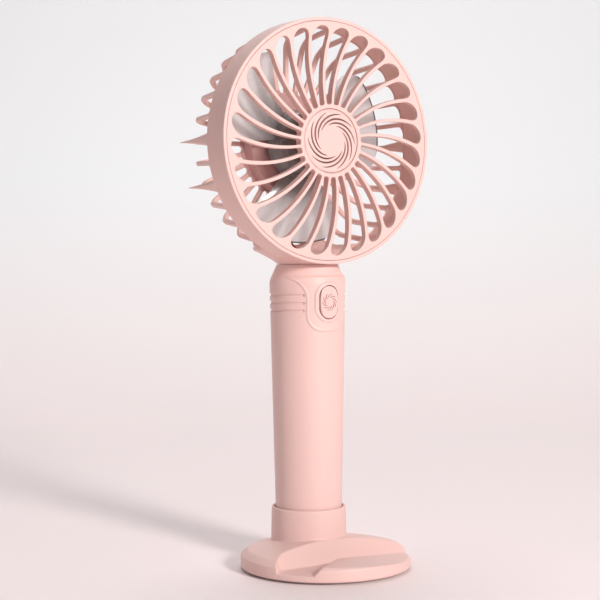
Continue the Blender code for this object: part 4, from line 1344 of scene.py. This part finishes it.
# Camera, light and floor ------------------------------------------------------------------
def make_camera():
    """A view from the fan's front left, level with the grip."""
    yaw = radians(33.17)
    pitch = radians(-2.21)
    roll = radians(-0.35)
    distance = 648.12 * MM
    aim = Vector((0, 0, 113.95 * MM))
    shift_left = 3.23 * MM
    forward = Vector((sin(yaw) * cos(pitch), cos(yaw) * cos(pitch), sin(pitch)))
    right = Vector((cos(yaw), -sin(yaw), 0))
    up = right.cross(forward)
    turned_right = right * cos(roll) + up * sin(roll)
    turned_up = up * cos(roll) - right * sin(roll)
    data = bpy.data.cameras.new("camera")
    data.sensor_width = 36
    data.lens = 89.8
    data.clip_start = 0.05
    data.clip_end = 20
    camera = bpy.data.objects.new("camera", data)
    bpy.context.scene.collection.objects.link(camera)
    axes = Matrix((turned_right, turned_up, -forward)).transposed().to_4x4()
    place = aim - forward * distance - right * shift_left
    camera.matrix_world = Matrix.Translation(place) @ axes
    bpy.context.scene.camera = camera


def area_light(name, place, target, size, power, colour):
    """A round soft light, size across, that points at the target."""
    data = bpy.data.lights.new(name, 'AREA')
    data.shape = 'DISK'
    data.size = size
    data.energy = power
    data.color = colour
    light = bpy.data.objects.new(name, data)
    bpy.context.scene.collection.objects.link(light)
    light.location = place
    light.rotation_mode = 'QUATERNION'
    light.rotation_quaternion = (Vector(place) - Vector(target)).to_track_quat('Z', 'Y')


def make_studio():
    world = bpy.data.worlds.new("studio")
    bpy.context.scene.world = world
    world.use_nodes = True
    sky = world.node_tree.nodes["Background"]
    sky.inputs["Color"].default_value = (0.93, 0.93, 0.95, 1.0)
    sky.inputs["Strength"].default_value = 0.16
    head = (0, 0, 0.15)
    area_light("key", (0.08, -1.2, 0.56), head, 0.3, 15, (1.0, 0.99, 0.98))
    area_light("left_fill", (-1.1, 0.25, 0.35), head, 0.8, 2.2, (0.98, 0.98, 1.0))
    area_light("wall_wash", (0.2, 0.45, 1.6), (0.55, 1.0, 0.35), 1.0, 11, (0.98, 0.99, 1.0))
    bpy.context.scene.view_settings.view_transform = 'Standard'


def make_floor():
    """A pale floor that sweeps up behind the fan, where it is greyer."""
    surface = Surface("pale_floor", (0.90, 0.78, 0.77), 0.55)
    surface.tint(surface.ramp(surface.noise(6, 3), 0.0, 0.25), (0.86, 0.79, 0.78))
    split = surface.add("ShaderNodeSeparateXYZ")
    surface.link(surface.place, split.inputs["Vector"])
    surface.tint(surface.ramp(split.outputs["Z"], 0.0, 1.0, 0.0, 0.2), (0.86, 0.86, 0.865))
    surface.bump(surface.noise(300, 3), 0.0001, 0.1)
    front, back, sweep, top, half_width = -1200, 450, 500, 2200, 2600
    profile = [(front, 0.0), (back, 0.0)] + arc((back, sweep), sweep, -90, 0, 16)[1:]
    profile.append((back + sweep, top))
    turn = radians(-33)
    rows = []
    for across in (-half_width, half_width):
        rows.append([(across * cos(turn) - away * sin(turn), across * sin(turn) + away * cos(turn),
                      z) for away, z in profile])
    bm = bmesh.new()
    add_rows(bm, rows, False)
    floor = finish_mesh("floor_sweep", bm, [surface.material])
    floor.location.z = -0.05 * MM


# Making it all ----------------------------------------------------------------------------
make_camera()
make_studio()
make_floor()
MATERIALS = make_materials()
finish_cad_nodes(MATERIALS)
for make in (make_rear_housing, make_front_grille, make_hub_cap, make_impeller, make_handle,
             make_button, make_port, make_status_light, make_base, make_pad):
    make(MATERIALS)
